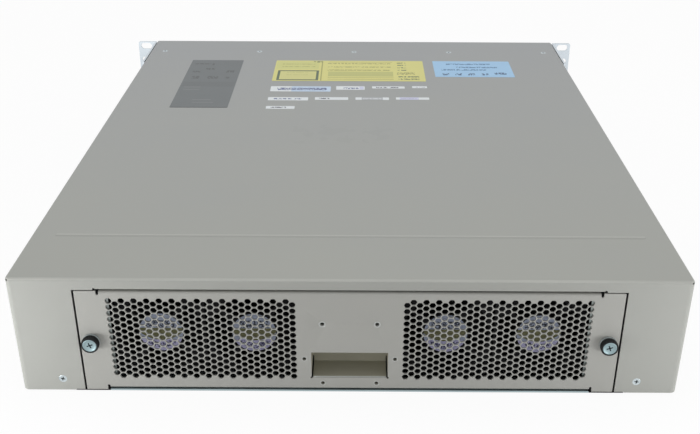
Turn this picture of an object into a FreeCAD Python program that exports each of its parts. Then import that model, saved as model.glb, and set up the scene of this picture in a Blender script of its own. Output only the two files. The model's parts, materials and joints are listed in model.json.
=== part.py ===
import FreeCAD, Part
import math
import os

# Two-unit modular chassis switch for a 19 inch rack, seen and modelled from its fan side.
#
# A zinc-plated base pan carries a painted cover that wraps the top, both sides and the two
# wings of the rear. Between the wings a fan tray slides out towards -Y: a perforated face,
# a sheet box, four 60 mm fans, a finger pocket and two captive thumbscrews. The port side
# at +Y has eight fixed ports, a line card slot, a covered spare slot and two power supplies.
#
# Frame: millimetres, +Z up, +Y towards the port side, origin at the centre of the underside.

Vector = FreeCAD.Vector

# ---- Chassis -------------------------------------------------------------------------
chassis_width = 440.0
chassis_height = 87.0
chassis_depth = 510.0
cover_sheet = 1.2
pan_sheet = 1.2
panel_sheet = 1.2
bend_radius = 0.6            # inside radius of every fold but the two below
corner_bend = 3.0            # inside radius of the cover's upright folds, at the rear corners
slip = 0.2                   # gap between sheets that slide over each other
seat_gap = 0.3               # gap under pieces that rest on a floor or shelf
lip_height = 7.9             # rear lip of the cover, above the fan tray
lip_return = 7.0             # depth of the fold under that lip
relief_radius = 0.9          # round reliefs at the ends of folds
corner_relief_radius = 0.75
corner_relief_inset = 1.5    # of the relief where three folds of the cover meet
corner_relief_depth = 4.0
bead_from_rear = 58.0        # raised line across the cover, over the fan bay wall
bead_width = 3.0
bead_height = 0.35
bead_end_margin = 17.0       # from the bead's end to the cover's side

# ---- Flat-head screws ------------------------------------------------------------------
screw_radius = 1.45
screw_head_radius = 2.8
screw_head_height = 1.35
cover_screw_length = 3.6
ear_screw_length = 5.0
screw_clearance = 0.05
cover_screw_count = 5
cover_screw_pitch = 102.4
cover_screw_from_front = 37.0
side_screw_count = 3
side_screw_pitch = 160.0
side_screw_z = 20.0
wing_screw_x = 192.0
wing_screw_z = 9.3
wing_tab_inside = 7.0        # from the wing screw to the edges of the pan's tab
wing_tab_outside = 12.0
wing_tab_height = 18.0

# ---- Rack ears -------------------------------------------------------------------------
rack_width = 482.6
rack_hole_spacing = 465.1
rack_hole_pitch = 15.9       # between neighbouring slots of one pair
rack_pair_spacing = 76.2     # between the outermost slots
rack_slot_length = 12.0
rack_slot_width = 7.0
ear_sheet = 2.0
ear_flange_length = 73.0
ear_edge = 0.5               # from the ear's end to the chassis's top or bottom
ear_corner = 2.0
ear_screw_rows = (14.0, 73.0)
ear_screw_columns = (20.0, 56.0)

# ---- Fan tray --------------------------------------------------------------------------
tray_sheet = 1.2
tray_face_width = 353.2
tray_side_gap = 1.4
tray_top_gap = 0.8           # between the ends of the face and the cover's lip
tray_fold_drop = 0.4         # the folded middle of the face is lower than its ends
tray_floor_gap = 0.9         # between the floor and the face's lower fold
tray_flange = 9.0            # depth of the face's folded edges
bay_half_width = 161.2       # inside of the fan bay, from the centre line
bay_slip = 0.4               # the tray's side play in the bay
bay_depth = 58.0
bay_flange_to = 176.0        # outer edge of the flanges that the thumbscrews bite into
box_sheet = 1.0
fan_size = 60.0
fan_depth = 38.0
fan_inner_x = 63.5
fan_pitch = 62.0
fan_z = 40.4
fan_from_face = 10.0

# The perforation is a honeycomb of six-sided holes, a flat to the top.
vent_pitch = 7.05
vent_across_flats = 6.0
vent_outer_x = 155.0         # centre of the outermost column
vent_inner_x = 38.0          # no column starts nearer the centre line than this
vent_top = 73.5
vent_bottom = 10.5

# Finger pocket
pocket_width = 50.8
pocket_bottom = 11.4
pocket_top = 31.7
pocket_depth = 19.4
pocket_headroom = 10.0       # the pocket is taller than its opening, to hook fingers behind the face
pocket_floor_gap = 0.9       # open seam beside the pocket's floor
pocket_upturn = 4.0
pocket_flange = 8.0
pocket_side_hole = (30.0, 26.5)
pocket_low_hole = (17.9, 7.0)
upper_hole = (17.9, 53.9)
small_hole_radius = 1.3
dimple_radius = 2.6
dimple_depth = 0.7

# Captive thumbscrews
knob_x = 169.2
knob_z = 40.0
knob_radius = 5.6
knob_head_radius = 4.6
knob_head_length = 3.8
knob_head_bevel = 0.5
knob_grip_length = 3.4
knob_grip_setback = 0.5
knob_shank_radius = 1.5
knob_tip_bevel = 0.6
knob_tip_past_nut = 0.2
recess_length = 4.4          # of the cross recess
recess_width = 0.9
recess_depth = 1.2
recess_turn = 38.0
ferrule_length = 1.6
ferrule_radius = 4.1
ferrule_flange_radius = 6.0
ferrule_flange = 1.2
ferrule_neck_radius = 3.0
running_clearance = 0.05
grip_ribs = 12
grip_groove_radius = 0.45
grip_groove_rise = 0.15      # from the grip's surface to the middle of a groove
nut_radius = 3.0
nut_length = 2.8
washer_thickness = 0.4
washer_radius = 3.9
washer_play = 0.1

# Fans: four in the tray and a small one in each power supply
fan_wall = 1.2               # thinnest wall round the bore
fan_corner = 3.0
fan_hub_plate = 4.0
fan_strut_width = 3.0
fan_strut_count = 4
fan_strut_turn = 38.0
fan_bearing_radius = 3.5
fan_shaft_radius = 1.5
fan_blade_count = 7
fan_blade_thickness = 1.2
fan_blade_lean_root = 32.0
fan_blade_lean_tip = 52.0
fan_tip_gap = 0.9
fan_rotor_gap = 0.8          # between the struts and the rotor
fan_cup_wall = 1.4
fan_bay_margin = 4.0         # the bay wall's windows are this much smaller than a fan, all round
fan_box_margin = 2.0         # and the box's windows this much
tray_fan = {"size": fan_size, "depth": fan_depth, "hub": 15.5, "hole": 2.15, "inset": 5.0, "flange": 4.0,
            "cup": 30.0, "chord": 30.0}

# ---- Power supplies --------------------------------------------------------------------
psu_width = 86.0
psu_height = 39.4
psu_depth = 300.0
psu_sheet = 1.0
psu_side_gap = 2.4           # between a supply and the pan's wall
psu_wall_gap = 0.6           # between a supply and the bay wall
psu_opening_gap = 0.4        # between a supply and the edges of its opening
psu_face_setback = 1.0       # from the panel's plane to the end of a supply's sleeve
psu_face_proud = 0.4
psu_tail_start = 12.0        # opening for the edge connector: its place, width, height
psu_tail_width = 52.0
psu_tail_rise = 10.0
psu_tail_height = 14.0
psu_socket_height = 10.0
psu_socket_inset = 2.0
psu_socket_reach = 2.4
psu_vent_margin = 4.0
psu_wall_drop = 2.7          # from the cover to the top of the bay's wall
shelf_sheet = 1.2
shelf_z = 42.1
inlet_width = 27.0
inlet_height = 20.0
inlet_wall = 1.4
inlet_depth = 18.0
inlet_flange = 1.5
inlet_pin_setback = 4.6
inlet_side_margin = 4.5
inlet_rim = 1.6
inlet_corner_cut = 4.5
inlet_pin_spacing = 14.0
inlet_pin_height = 9.5       # of the outer two pins, above the inlet's lower edge
inlet_earth_height = 5.5
inlet_pin_size = (2.0, 4.0)
bail_radius = 1.6
bail_span = 36.0
bail_drop = 20.0
bail_corner = 5.0
bail_standoff = 4.0
bail_top_margin = 7.0
bail_side_margin = 4.5
bail_arm_inset = 2.5         # from the lugs' middle to the bail's arms
bail_wall = 1.6              # of the eyes round the bail
lug_width = 3.0
lug_gap = 1.0                # between a lug and the end of the span
lug_reach = 2.6
latch_width = 3.6
latch_length = 13.0
latch_height = 12.0
latch_pin_radius = 1.1
latch_standoff = 3.2
latch_from_lug = 5.0
latch_hook = 2.0
latch_ear = 2.4              # thickness of the ears above and below the latch
latch_ear_gap = 0.4
psu_vent_pitch = 9.0
psu_vent_across_flats = 7.4
psu_vent_columns = 4
psu_fan = {"size": 36.0, "depth": 20.0, "hub": 9.0, "hole": 1.6, "inset": 3.2, "flange": 20.0,
           "cup": 13.5, "chord": 13.0}

# ---- Slots, ports and boards -----------------------------------------------------------
plate_gap = 1.5              # between neighbouring faceplates
slot_plate_height = 39.2
slot_plate_bottom = 2.2
slot_border_x = 9.3          # faceplate that overlaps the panel at each side of a slot
slot_border_z = 2.8
slot_screw_inset = 4.6
slot_plate_gap = 0.1         # between a faceplate and the panel
slot_plate_corner = 1.0
slot_screw_knob_radius = 3.6
slot_screw_knob_length = 7.0
slot_screw_knob_bevel = 0.6
slot_screw_slot_width = 1.0
slot_screw_slot_depth = 1.2
slot_screw_shank_radius = 1.2
slot_screw_reach = 3.0
slot_cover_depth = 14.0      # of the pan behind the spare slot's cover
slot_cover_wall = 1.0
board_thickness = 1.6
standoff_height = 5.0
standoff_radius = 3.0
standoff_inset = 12.0
deck_from_socket = 2.0
board_edge_gap = 3.0         # from the main board to the walls beside it
board_front_gap = 2.0
chip_size = 34.0
chip_height = 2.5
chip_places = [(-70.0, -150.0), (-70.0, 60.0), (62.0, -150.0), (62.0, 60.0)]
memory_places = [(20.0, -130.0), (32.0, -130.0)]
memory_size = (4.0, 130.0, 26.0)
root = 0.5                   # how far chips and connectors are let into their board
port_columns = 4
port_rows = 2
port_width = 34.4
port_height = 12.9
port_wall = 1.6
port_corner = 0.8
cage_back = 2.0
cage_depth = 95.0
plug_clearance = 0.25
plug_depth = 10.0
plug_grip_width = 14.0
plug_grip_height = 3.0
plug_grip_length = 4.5
card_depth = 230.0
card_board_setback = 14.0    # from the panel's plane to the card's board
card_plug_place = 50.0
card_plug_width = 60.0
card_plug_height = 10.0
card_plug_reach = 6.0
rail_width = 4.0
rail_groove = 2.2
rail_groove_depth = 2.4
rail_lip = 1.0               # above the groove
rail_overhang = 0.2          # of the rails' sides past the edges of the opening
rail_lead = 15.0             # of the rails past the card's inner end
rail_setback = 16.0
card_clearance = 0.6         # between a card and the edges of its opening
wall_setback = 10.0          # from the front panel to the upright walls behind it
wall_lead = 20.0             # of the slot divider past the card's inner end
wall_foot = 8.0
socket_depth = 8.0
socket_wall = 6.0
socket_height = 20.0
socket_window_gap = 3.0
plug_width = 32.0
plug_height = 12.0
plug_rim = 3.0               # how far the plug's base stands out behind the box
plug_tongue_inset = 4.0
plug_tongue_height = 5.0
plug_fit = 0.4               # between the plug's tongue and its socket
plug_reach = 3.0             # of the tray's plug into its socket
control_board_size = (48.0, 32.0)
control_chip_places = (-18.0, -4.0, 10.0)
control_chip_size = 8.0
control_chip_height = 1.8
jack_width = 15.4
jack_height = 13.4
jack_depth = 16.0
jack_mouth_width = 11.8
jack_mouth_height = 8.4
jack_mouth_depth = 12.0
jack_key_width = 5.2         # the notch for the plug's catch
jack_key_depth = 1.6
jack_from_bay = 6.0
intake_pitch = 11.0
intake_across_flats = 9.0
sink_size = 62.0
sink_height = 24.0
sink_fins = 9
sink_fin = 1.4
sink_base = 4.0
sink_place = (-190.0, -160.0)
sink_count = 3
sink_pitch = 92.0
flange_depth = 45.0          # of the front panel's upper fold, which takes the cover screws

# ---- Places worked out from the sizes ----------------------------------------------------
rear = -chassis_depth / 2
front = chassis_depth / 2
half_width = chassis_width / 2
pan_half = half_width - cover_sheet - slip
pan_inner = pan_half - pan_sheet
pan_front = front - panel_sheet - slip
pan_rear = rear + cover_sheet + slip
cover_under = chassis_height - cover_sheet
lip_bottom = chassis_height - lip_height
tray_half = tray_face_width / 2
opening_half = tray_half + tray_side_gap
tray_end_top = lip_bottom - tray_top_gap
tray_end_bottom = pan_sheet - seat_gap
tray_fold_top = tray_end_top - tray_fold_drop
tray_fold_bottom = pan_sheet + tray_floor_gap
tray_inside = rear + tray_sheet
box_half = bay_half_width - bay_slip
box_wall = rear + fan_from_face + fan_depth
fold_half = box_half
fan_places = [-fan_inner_x - fan_pitch, -fan_inner_x, fan_inner_x, fan_inner_x + fan_pitch]
bay_wall_y = rear + bay_depth
panel_bottom = pan_sheet + slip
panel_top = cover_under - slip
panel_back = front - panel_sheet
psu_x1 = pan_inner - psu_side_gap
psu_x0 = psu_x1 - psu_width
bay_wall_x1 = psu_x0 - psu_wall_gap
bay_wall_x0 = bay_wall_x1 - shelf_sheet
psu_levels = {"psu_lower": pan_sheet + seat_gap, "psu_upper": shelf_z + shelf_sheet + seat_gap}
psu_face = front + psu_face_proud
psu_vent_x = psu_x0 + bail_side_margin + bail_span / 2
slot_plate_top = slot_plate_bottom + slot_plate_height
slot_middle = slot_plate_bottom + slot_plate_height / 2
slot_width = (bay_wall_x1 + pan_inner - 3 * plate_gap) / 2
slot_starts = [-pan_inner + plate_gap, -pan_inner + 2 * plate_gap + slot_width]
board_bottom = shelf_z + shelf_sheet + standoff_height
board_top = board_bottom + board_thickness
card_board_z = slot_plate_bottom + slot_border_z + card_clearance
card_board_top = card_board_z + board_thickness
cage_width = port_columns * (port_width + port_wall) + port_wall
cage_height = port_rows * (port_height + port_wall) + port_wall


# ---- Helpers -----------------------------------------------------------------------------
def along(axis, a, u, v):
    """The point at height a on an axis, with u and v on the two others in X, Y, Z order."""
    return {"x": Vector(a, u, v), "y": Vector(u, a, v), "z": Vector(u, v, a)}[axis]


def rectangle(u0, u1, v0, v1, radius=0.0):
    """The four corners of a rectangle, each with the radius that rounds it."""
    return [(u0, v0, radius), (u1, v0, radius), (u1, v1, radius), (u0, v1, radius)]


def hexagon(u, v, across_flats):
    """The corners of a hexagon with a flat at its top."""
    reach = across_flats / math.sqrt(3)
    turns = [math.radians(60 * k) for k in range(6)]
    return [(u + reach * math.cos(t), v + reach * math.sin(t), 0.0) for t in turns]


def outline(corners, axis, a):
    """A closed wire through the corners, with each corner rounded by its own radius."""
    arrive, middle, leave = [], [], []
    count = len(corners)
    for i, (u, v, radius) in enumerate(corners):
        here = Vector(u, v, 0)
        before = (Vector(*corners[i - 1][:2], 0) - here).normalize()
        after = (Vector(*corners[(i + 1) % count][:2], 0) - here).normalize()
        half = before.getAngle(after) / 2
        bisector = (before + after).normalize()
        centre = here + bisector * (radius / math.sin(half))
        arrive.append(here + before * (radius / math.tan(half)))
        leave.append(here + after * (radius / math.tan(half)))
        middle.append(centre - bisector * radius)
    edges = []
    for i in range(count):
        start, mid, end = (along(axis, a, p.x, p.y) for p in (arrive[i], middle[i], leave[i]))
        if corners[i][2] > 0:
            edges.append(Part.Arc(start, mid, end).toShape())
        following = along(axis, a, arrive[(i + 1) % count].x, arrive[(i + 1) % count].y)
        if (following - end).Length > 1e-6:
            edges.append(Part.makeLine(end, following))
    return Part.Wire(edges)


def extrude(corners, axis, a0, a1, holes=()):
    """The outline, less its holes, pulled along an axis from a0 to a1."""
    wires = [outline(corners, axis, a0)] + [outline(hole, axis, a0) for hole in holes]
    face = Part.Face(wires) if len(wires) == 1 else Part.makeFace(wires, "Part::FaceMakerBullseye")
    return face.extrude(along(axis, a1 - a0, 0, 0))


def block(x0, x1, y0, y1, z0, z1):
    """A box between two corners."""
    return Part.makeBox(x1 - x0, y1 - y0, z1 - z0, Vector(x0, y0, z0))


def rod(axis, u, v, radius, a0, a1):
    """A cylinder along an axis, from a0 to a1."""
    start = along(axis, min(a0, a1), u, v)
    return Part.makeCylinder(radius, abs(a1 - a0), start, along(axis, 1, 0, 0))


def ring(axis, u, v, outer, inner, a0, a1):
    """A tube along an axis."""
    return rod(axis, u, v, outer, a0, a1).cut(rod(axis, u, v, inner, a0, a1))


def fold(path, sheet, axis, a0, a1):
    """A folded sheet: a bent path, thickened to its left, or to its right where sheet is negative."""
    points = [Vector(u, v, 0) for u, v in path]
    steps = [(b - a).normalize() for a, b in zip(points, points[1:])]
    lefts = [Vector(-s.y, s.x, 0) for s in steps]
    near, far = [], []
    wide, tight = bend_radius + abs(sheet), bend_radius
    for i, point in enumerate(points):
        if i in (0, len(points) - 1):
            near.append((point.x, point.y, 0.0))
            side = point + lefts[min(i, len(lefts) - 1)] * sheet
            far.append((side.x, side.y, 0.0))
            continue
        turn = steps[i - 1].x * steps[i].y - steps[i - 1].y * steps[i].x
        mitre = (lefts[i - 1] + lefts[i]).normalize()
        side = point + mitre * (sheet / mitre.dot(lefts[i]))
        outside = (turn > 0) == (sheet > 0)
        near.append((point.x, point.y, wide if outside else tight))
        far.append((side.x, side.y, tight if outside else wide))
    return extrude(near + far[::-1], axis, a0, a1)


def mirrored(shape):
    """The shape's twin on the other side of the centre line."""
    return shape.mirror(Vector(0, 0, 0), Vector(1, 0, 0))


def pair(shape):
    """A shape and its twin."""
    return [shape, mirrored(shape)]


def turned(profile, axis, u, v):
    """A profile of (radius, height) points turned about an axis through u, v."""
    points = [Vector(r, 0, h) for r, h in profile]
    solid = Part.Face(Part.makePolygon(points + points[:1])).revolve(Vector(), Vector(0, 0, 1), 360)
    spin = FreeCAD.Rotation(Vector(0, 0, 1), along(axis, 1, 0, 0))
    solid.Placement = FreeCAD.Placement(along(axis, 0, u, v), spin)
    return solid


def honeycomb(starts, step, top, bottom, pitch, across_flats):
    """Hexagons in columns, every other column half a pitch lower."""
    holes = []
    for column in range(starts[1]):
        shift = pitch / 2 if column % 2 else 0.0
        z = top - across_flats / 2 - shift
        while z > bottom + across_flats / 2 - 0.01:
            holes.append(hexagon(starts[0] + column * step, z, across_flats))
            z -= pitch
    return holes


# ---- Fasteners -----------------------------------------------------------------------------
def flat_head(axis, u, v, surface, inward, length):
    """A flat-head screw with its head flush with a surface, driven along inward (+1 or -1)."""
    depths = [0.0, screw_head_height, length]
    levels = [surface + inward * d for d in depths]
    head = [(0, levels[0]), (screw_head_radius, levels[0]), (screw_radius, levels[1])]
    return turned(head + [(screw_radius, levels[2]), (0, levels[2])], axis, u, v)


def countersink(axis, u, v, surface, inward, length):
    """The hole that such a screw sits in, a little wider all round."""
    outer = screw_head_radius + screw_clearance
    shank = screw_radius + screw_clearance
    base = surface - inward * 0.5
    levels = [base, surface, surface + inward * screw_head_height]
    far = surface + inward * (length + 2)
    cone = [(0, levels[0]), (outer, levels[0]), (outer, levels[1]), (shank, levels[2])]
    return turned(cone + [(shank, far), (0, far)], axis, u, v)


def screw_places():
    """Axis, place, surface, direction and length of each flat-head screw that holds the cover."""
    length, places = cover_screw_length, []
    y = front - cover_screw_from_front
    for i in range(cover_screw_count):
        x = (i - (cover_screw_count - 1) / 2) * cover_screw_pitch
        places.append(("z", x, y, chassis_height, -1, length))
    for side in (-1, 1):
        places.append(("y", side * wing_screw_x, wing_screw_z, rear, 1, length))
        for i in range(side_screw_count):
            y = (i - (side_screw_count - 1) / 2) * side_screw_pitch
            places.append(("x", y, side_screw_z, side * half_width, -side, length))
    return places


def ear_screw_places():
    """The same for the screws that hold the rack ears to the chassis's sides."""
    places = []
    for side in (-1, 1):
        surface = side * (half_width + seat_gap + ear_sheet)
        for z in ear_screw_rows:
            for back in ear_screw_columns:
                places.append(("x", front - back, z, surface, -side, ear_screw_length))
    return places


def bored(shape, places):
    """The shape with a countersunk hole for each screw."""
    return shape.cut([countersink(*place) for place in places])


# ---- Chassis -------------------------------------------------------------------------------
def base_pan():
    """Zinc-plated pan: floor, both side walls, and tabs that the cover's wings screw to."""
    top = cover_under - 1.8
    path = [(-pan_half, top), (-pan_half, 0), (pan_half, 0), (pan_half, top)]
    pan = fold(path, pan_sheet, "y", pan_rear, pan_front)
    tongue = block(-fold_half, fold_half, rear, pan_rear + 2, 0, pan_sheet)
    inside, outside = wing_screw_x - wing_tab_inside, wing_screw_x + wing_tab_outside
    notch = block(fold_half, inside - 0.5, rear, pan_rear + 4, -1, pan_sheet + 1)
    tab = extrude(rectangle(inside, outside, 0, wing_tab_height), "y", pan_rear, pan_rear + pan_sheet)
    reach = corner_bend + cover_sheet
    corner = block(half_width - reach, half_width, rear, rear + reach, -1, chassis_height)
    pan = pan.fuse([tongue] + pair(tab)).cut(pair(notch) + pair(corner))
    return bored(pan, screw_places() + ear_screw_places()).removeSplitter()


def top_cover():
    """Painted cover: top, both sides, the rear wings and the lip over the fan tray."""
    inner = half_width - cover_sheet
    shell = block(-half_width, half_width, rear, front, seat_gap, chassis_height)
    shell = shell.makeFillet(corner_bend + cover_sheet, rear_corners(shell))
    upper = [e for e in shell.Edges if e.BoundBox.ZMin > chassis_height - 0.1]
    shell = shell.makeFillet(bend_radius + cover_sheet, [e for e in upper if e.BoundBox.YMin < front - 0.1])
    hollow = block(-inner, inner, rear + cover_sheet, front + 1, -1, cover_under)
    shell = shell.cut(hollow.makeFillet(corner_bend, rear_corners(hollow)))
    shell = shell.cut(block(-opening_half, opening_half, rear - 1, rear + 5, -1, lip_bottom))
    undercut_to = wing_screw_x - wing_tab_inside - 0.5
    undercut = block(opening_half - 1, undercut_to, rear - 1, rear + 5, -1, pan_sheet - seat_gap)
    x, z = half_width - corner_relief_inset, chassis_height - corner_relief_inset
    corner = rod("y", x, z, corner_relief_radius, rear - 1, rear + corner_relief_depth)
    reach, radius = fold_half + 2 * relief_radius, relief_radius
    relief = rod("y", reach + radius, lip_bottom + radius / 2, radius, rear - 1, rear + 2)
    path = [(rear + lip_return, lip_bottom), (rear, lip_bottom), (rear, lip_bottom + 3)]
    lip = fold(path[::-1], cover_sheet, "x", -reach, reach)
    blunt = block(-reach, reach, rear - 1, rear + 2, lip_bottom - 1, lip_bottom + 3)
    shell = shell.cut(pair(undercut) + pair(corner) + [blunt]).fuse(lip).cut(pair(relief))
    return bored(bead(shell), screw_places() + ear_screw_places()).removeSplitter()


def rear_corners(shape):
    """The upright edges of a block at its rear."""
    low = shape.BoundBox.YMin
    return [e for e in shape.Edges if e.BoundBox.YMax < low + 1 and e.BoundBox.ZLength > 1]


def bead(shell):
    """The cover with a low raised line pressed across it."""
    radius = (bead_width ** 2 / 4 + bead_height ** 2) / (2 * bead_height)
    reach = half_width - bead_end_margin
    y, middle = rear + bead_from_rear, chassis_height - cover_sheet / 2
    centre = chassis_height - radius + bead_height
    ridge = rod("x", y, centre, radius, -reach, reach)
    groove = rod("x", y, centre - cover_sheet, radius, -reach, reach)
    crown = ridge.common(block(-reach, reach, y - radius, y + radius, middle, chassis_height + 1))
    hollow = groove.common(block(-reach, reach, y - radius, y + radius, 0, middle - 0.1))
    return shell.fuse(crown).cut(hollow)


def fan_bay_frame():
    """One folded sheet: the wall in front of the fans, the bay's sides and the screw flanges."""
    flange = tray_inside + seat_gap + pan_sheet
    side, wall = bay_half_width + pan_sheet, bay_wall_y + pan_sheet
    path = [(-bay_flange_to, flange), (-side, flange), (-side, wall)]
    path += [(-u, v) for u, v in path[::-1]]
    frame = fold(path, -pan_sheet, "z", pan_sheet, cover_under - slip)
    under_lip = block(-side - 20, side + 20, rear, rear + lip_return + 1, tray_fold_top, chassis_height)
    radius = fan_size / 2 - fan_bay_margin
    windows = [rod("y", x, fan_z, radius, bay_wall_y - 1, wall + 1) for x in fan_places]
    half, rise = plug_width / 2 + socket_window_gap, socket_height / 2 - 2
    windows.append(block(-half, half, bay_wall_y - 1, wall + 1, fan_z - rise, fan_z + rise))
    bore = knob_shank_radius + running_clearance
    nut = ring("y", knob_x, knob_z, nut_radius, bore, flange, flange + nut_length)
    hole = rod("y", knob_x, knob_z, bore, flange - 3, flange + 1)
    return frame.cut(windows + [under_lip]).fuse(pair(nut)).cut(pair(hole))


def rack_ear():
    """The right-hand ear: a flange on the chassis's side and a slotted face."""
    inner, tip = half_width + seat_gap, rack_width / 2
    path = [(tip, front), (inner, front), (inner, front - ear_flange_length)]
    ear = fold(path, ear_sheet, "z", ear_edge, chassis_height - ear_edge)
    across = [e for e in ear.Edges if e.BoundBox.YLength > ear_sheet - 0.1 and e.BoundBox.ZLength < 0.1]
    ear = ear.makeFillet(ear_corner, [e for e in across if e.BoundBox.XMin > tip - 0.1])
    half, long = rack_slot_width / 2, rack_slot_length / 2
    x, slots = rack_hole_spacing / 2, []
    for outer in (-1, 1):
        for step in (0, 1):
            z = chassis_height / 2 + outer * (rack_pair_spacing / 2 - step * rack_hole_pitch)
            ends = rectangle(x - long, x + long, z - half, z + half, half - 0.001)
            slots.append(extrude(ends, "y", front - 5, front + 5))
    return bored(ear.cut(slots), [p for p in ear_screw_places() if p[3] > 0])


def front_panel():
    """The port side: openings for the supplies, the slots and the ports, and an intake honeycomb."""
    z0, z1 = panel_bottom, panel_top
    path = [(front - flange_depth, z1), (front, z1), (front, z0), (front - 9, z0)]
    reach = pan_half - slip
    panel = fold(path, -panel_sheet, "x", -reach, reach)
    cuts = pair(block(pan_inner - slip, reach + 1, front - 12, panel_back, z0 - 1, z0 + 12))
    x0, x1 = psu_x0 - psu_opening_gap, psu_x1 + psu_opening_gap
    for level in psu_levels.values():
        low = level - seat_gap / 2 if level > shelf_z else -1
        cuts.append(block(x0, x1, panel_back - 20, front + 1, low, level + psu_height + psu_opening_gap))
    radius = slot_screw_shank_radius + running_clearance
    for start in slot_starts:
        x0, x1 = slot_opening(start)
        low, high = slot_plate_bottom + slot_border_z, slot_plate_top - slot_border_z
        cuts.append(block(x0, x1, panel_back - 1, front + 1, low, high))
        for x in slot_screw_columns(start):
            cuts.append(rod("y", x, slot_middle, radius, panel_back - 1, front + 1))
    low = board_top - slip
    for (x0, x1), height in ((cage_span(), cage_height), (jack_span(), jack_height)):
        cuts.append(block(x0 - slip, x1 + slip, panel_back - 1, front + 1, low, board_top + height + slip))
    panel = panel.cut(cuts + intake_holes())
    return bored(panel, [p for p in screw_places() if p[0] == "z"])


def slot_opening(start):
    """Left and right edge of the opening behind a slot's faceplate."""
    return start + slot_border_x, start + slot_width - slot_border_x


def intake_holes():
    """Air inlets between the fixed ports and the service jacks."""
    step = intake_pitch * math.sqrt(3) / 2
    start = cage_span()[1] + intake_pitch
    count = int((jack_span()[0] - intake_pitch / 2 - start) / step)
    top = board_top + cage_height
    holes = honeycomb((start, count), step, top, board_top, intake_pitch, intake_across_flats)
    return [extrude(hole, "y", panel_back - 1, front + 1) for hole in holes]


def cage_span():
    """Left and right side of both port cages, the fixed one in line with the card's."""
    start = slot_starts[0] + (slot_width - cage_width) / 2
    return start, start + cage_width


def jack_span():
    """Left and right side of the service jacks."""
    end = bay_wall_x0 - jack_from_bay
    return end - 2 * jack_width, end


def slot_screw_columns(start):
    """Where the two captive screws of a slot stand."""
    return (start + slot_screw_inset, start + slot_width - slot_screw_inset)


def psu_bay_wall():
    """Upright wall between the supplies and the card cage."""
    top = cover_under - psu_wall_drop
    path = [(bay_wall_x0 - wall_foot, pan_sheet), (bay_wall_x1, pan_sheet), (bay_wall_x1, top)]
    return fold(path, shelf_sheet, "y", front - psu_depth - 12, panel_back - wall_setback)


def psu_bay_shelf():
    """Shelf between the two supplies."""
    y0, y1 = front - psu_depth, panel_back - slip
    return block(bay_wall_x1 + slip, pan_inner - slip, y0, y1, shelf_z, shelf_z + shelf_sheet)


def slot_deck():
    """Deck over the slots, with standoffs for the main board."""
    x0, x1 = -pan_inner + slip, bay_wall_x0 - slip
    y0, y1 = bay_wall_y + pan_sheet + socket_depth + deck_from_socket, panel_back - slip
    deck = block(x0, x1, y0, y1, shelf_z, shelf_z + shelf_sheet)
    columns = (x0 + standoff_inset, (x0 + x1) / 2, x1 - standoff_inset)
    rows = (y0 + standoff_inset, (y0 + y1) / 2, y1 - cage_depth - 2 * standoff_inset)
    foot = shelf_z + shelf_sheet / 2
    return deck.fuse([rod("z", x, y, standoff_radius, foot, board_bottom) for x in columns for y in rows])


def slot_divider():
    """Upright wall between the two slots, with a foot on the floor."""
    x = slot_starts[1] - plate_gap / 2 + shelf_sheet / 2
    path = [(x - wall_foot, pan_sheet), (x, pan_sheet), (x, shelf_z - slip)]
    return fold(path, shelf_sheet, "y", front - card_depth - wall_lead, panel_back - wall_setback)


def card_rails():
    """Grooved rails on the floor that guide the edges of a card's board."""
    y0, y1 = front - card_depth - rail_lead, panel_back - rail_setback
    low = card_board_z - (rail_groove - board_thickness) / 2
    rails = []
    for start in slot_starts:
        for edge, way in zip(slot_opening(start), (1, -1)):
            inner = edge + way * (rail_overhang + rail_groove_depth)
            xs = sorted((inner, inner - way * rail_width))
            groove = sorted((inner + way, inner - way * rail_groove_depth))
            rail = block(xs[0], xs[1], y0, y1, pan_sheet, low + rail_groove + rail_lip)
            rails.append(rail.cut(block(groove[0], groove[1], y0 - 1, y1 + 1, low, low + rail_groove)))
    return rails


# ---- Boards and ports ------------------------------------------------------------------------
def on_board(x, y, width, depth, top, z):
    """A chip or module of a board whose face is at z, let a little into it."""
    return block(x, x + width, y, y + depth, z - root, z + top)


def main_board():
    """Main board on the deck, with memory modules and chips on its face."""
    x0, x1 = -pan_inner + board_edge_gap, bay_wall_x0 - board_edge_gap
    y0 = bay_wall_y + pan_sheet + socket_depth + deck_from_socket + board_edge_gap
    y1 = panel_back - board_front_gap
    board = block(x0, x1, y0, y1, board_bottom, board_top)
    chips = [on_board(x, y, chip_size, chip_size, chip_height, board_top) for x, y in chip_places]
    return board.fuse(chips + [on_board(x, y, *memory_size, board_top) for x, y in memory_places])


def heat_sinks():
    """Finned heat sinks on the three switching chips."""
    x0 = sink_place[0]
    step = (sink_size - sink_fin) / (sink_fins - 1)
    sinks = []
    for k in range(sink_count):
        y0 = sink_place[1] + k * sink_pitch
        y1 = y0 + sink_size
        base = block(x0, x0 + sink_size, y0, y1, board_top, board_top + sink_base)
        starts = [x0 + i * step for i in range(sink_fins)]
        fins = [block(x, x + sink_fin, y0, y1, board_top + 1, board_top + sink_height) for x in starts]
        sinks.append(base.fuse(fins).removeSplitter())
    return sinks


def cage(z):
    """A block of module bays that stands at height z, open at the front."""
    x0, x1 = cage_span()
    back = front - cage_depth
    body = block(x0, x1, back, front, z, z + cage_height)
    y0, y1 = back + cage_back, front + 1
    return body.cut([block(u, u + port_width, y0, y1, w, w + port_height) for u, w in port_places(z)])


def port_places(z):
    """Lower left corner of each port of the cage at height z."""
    x = cage_span()[0]
    return [(x + port_wall + i * (port_width + port_wall), z + port_wall + j * (port_height + port_wall))
            for i in range(port_columns) for j in range(port_rows)]


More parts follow.
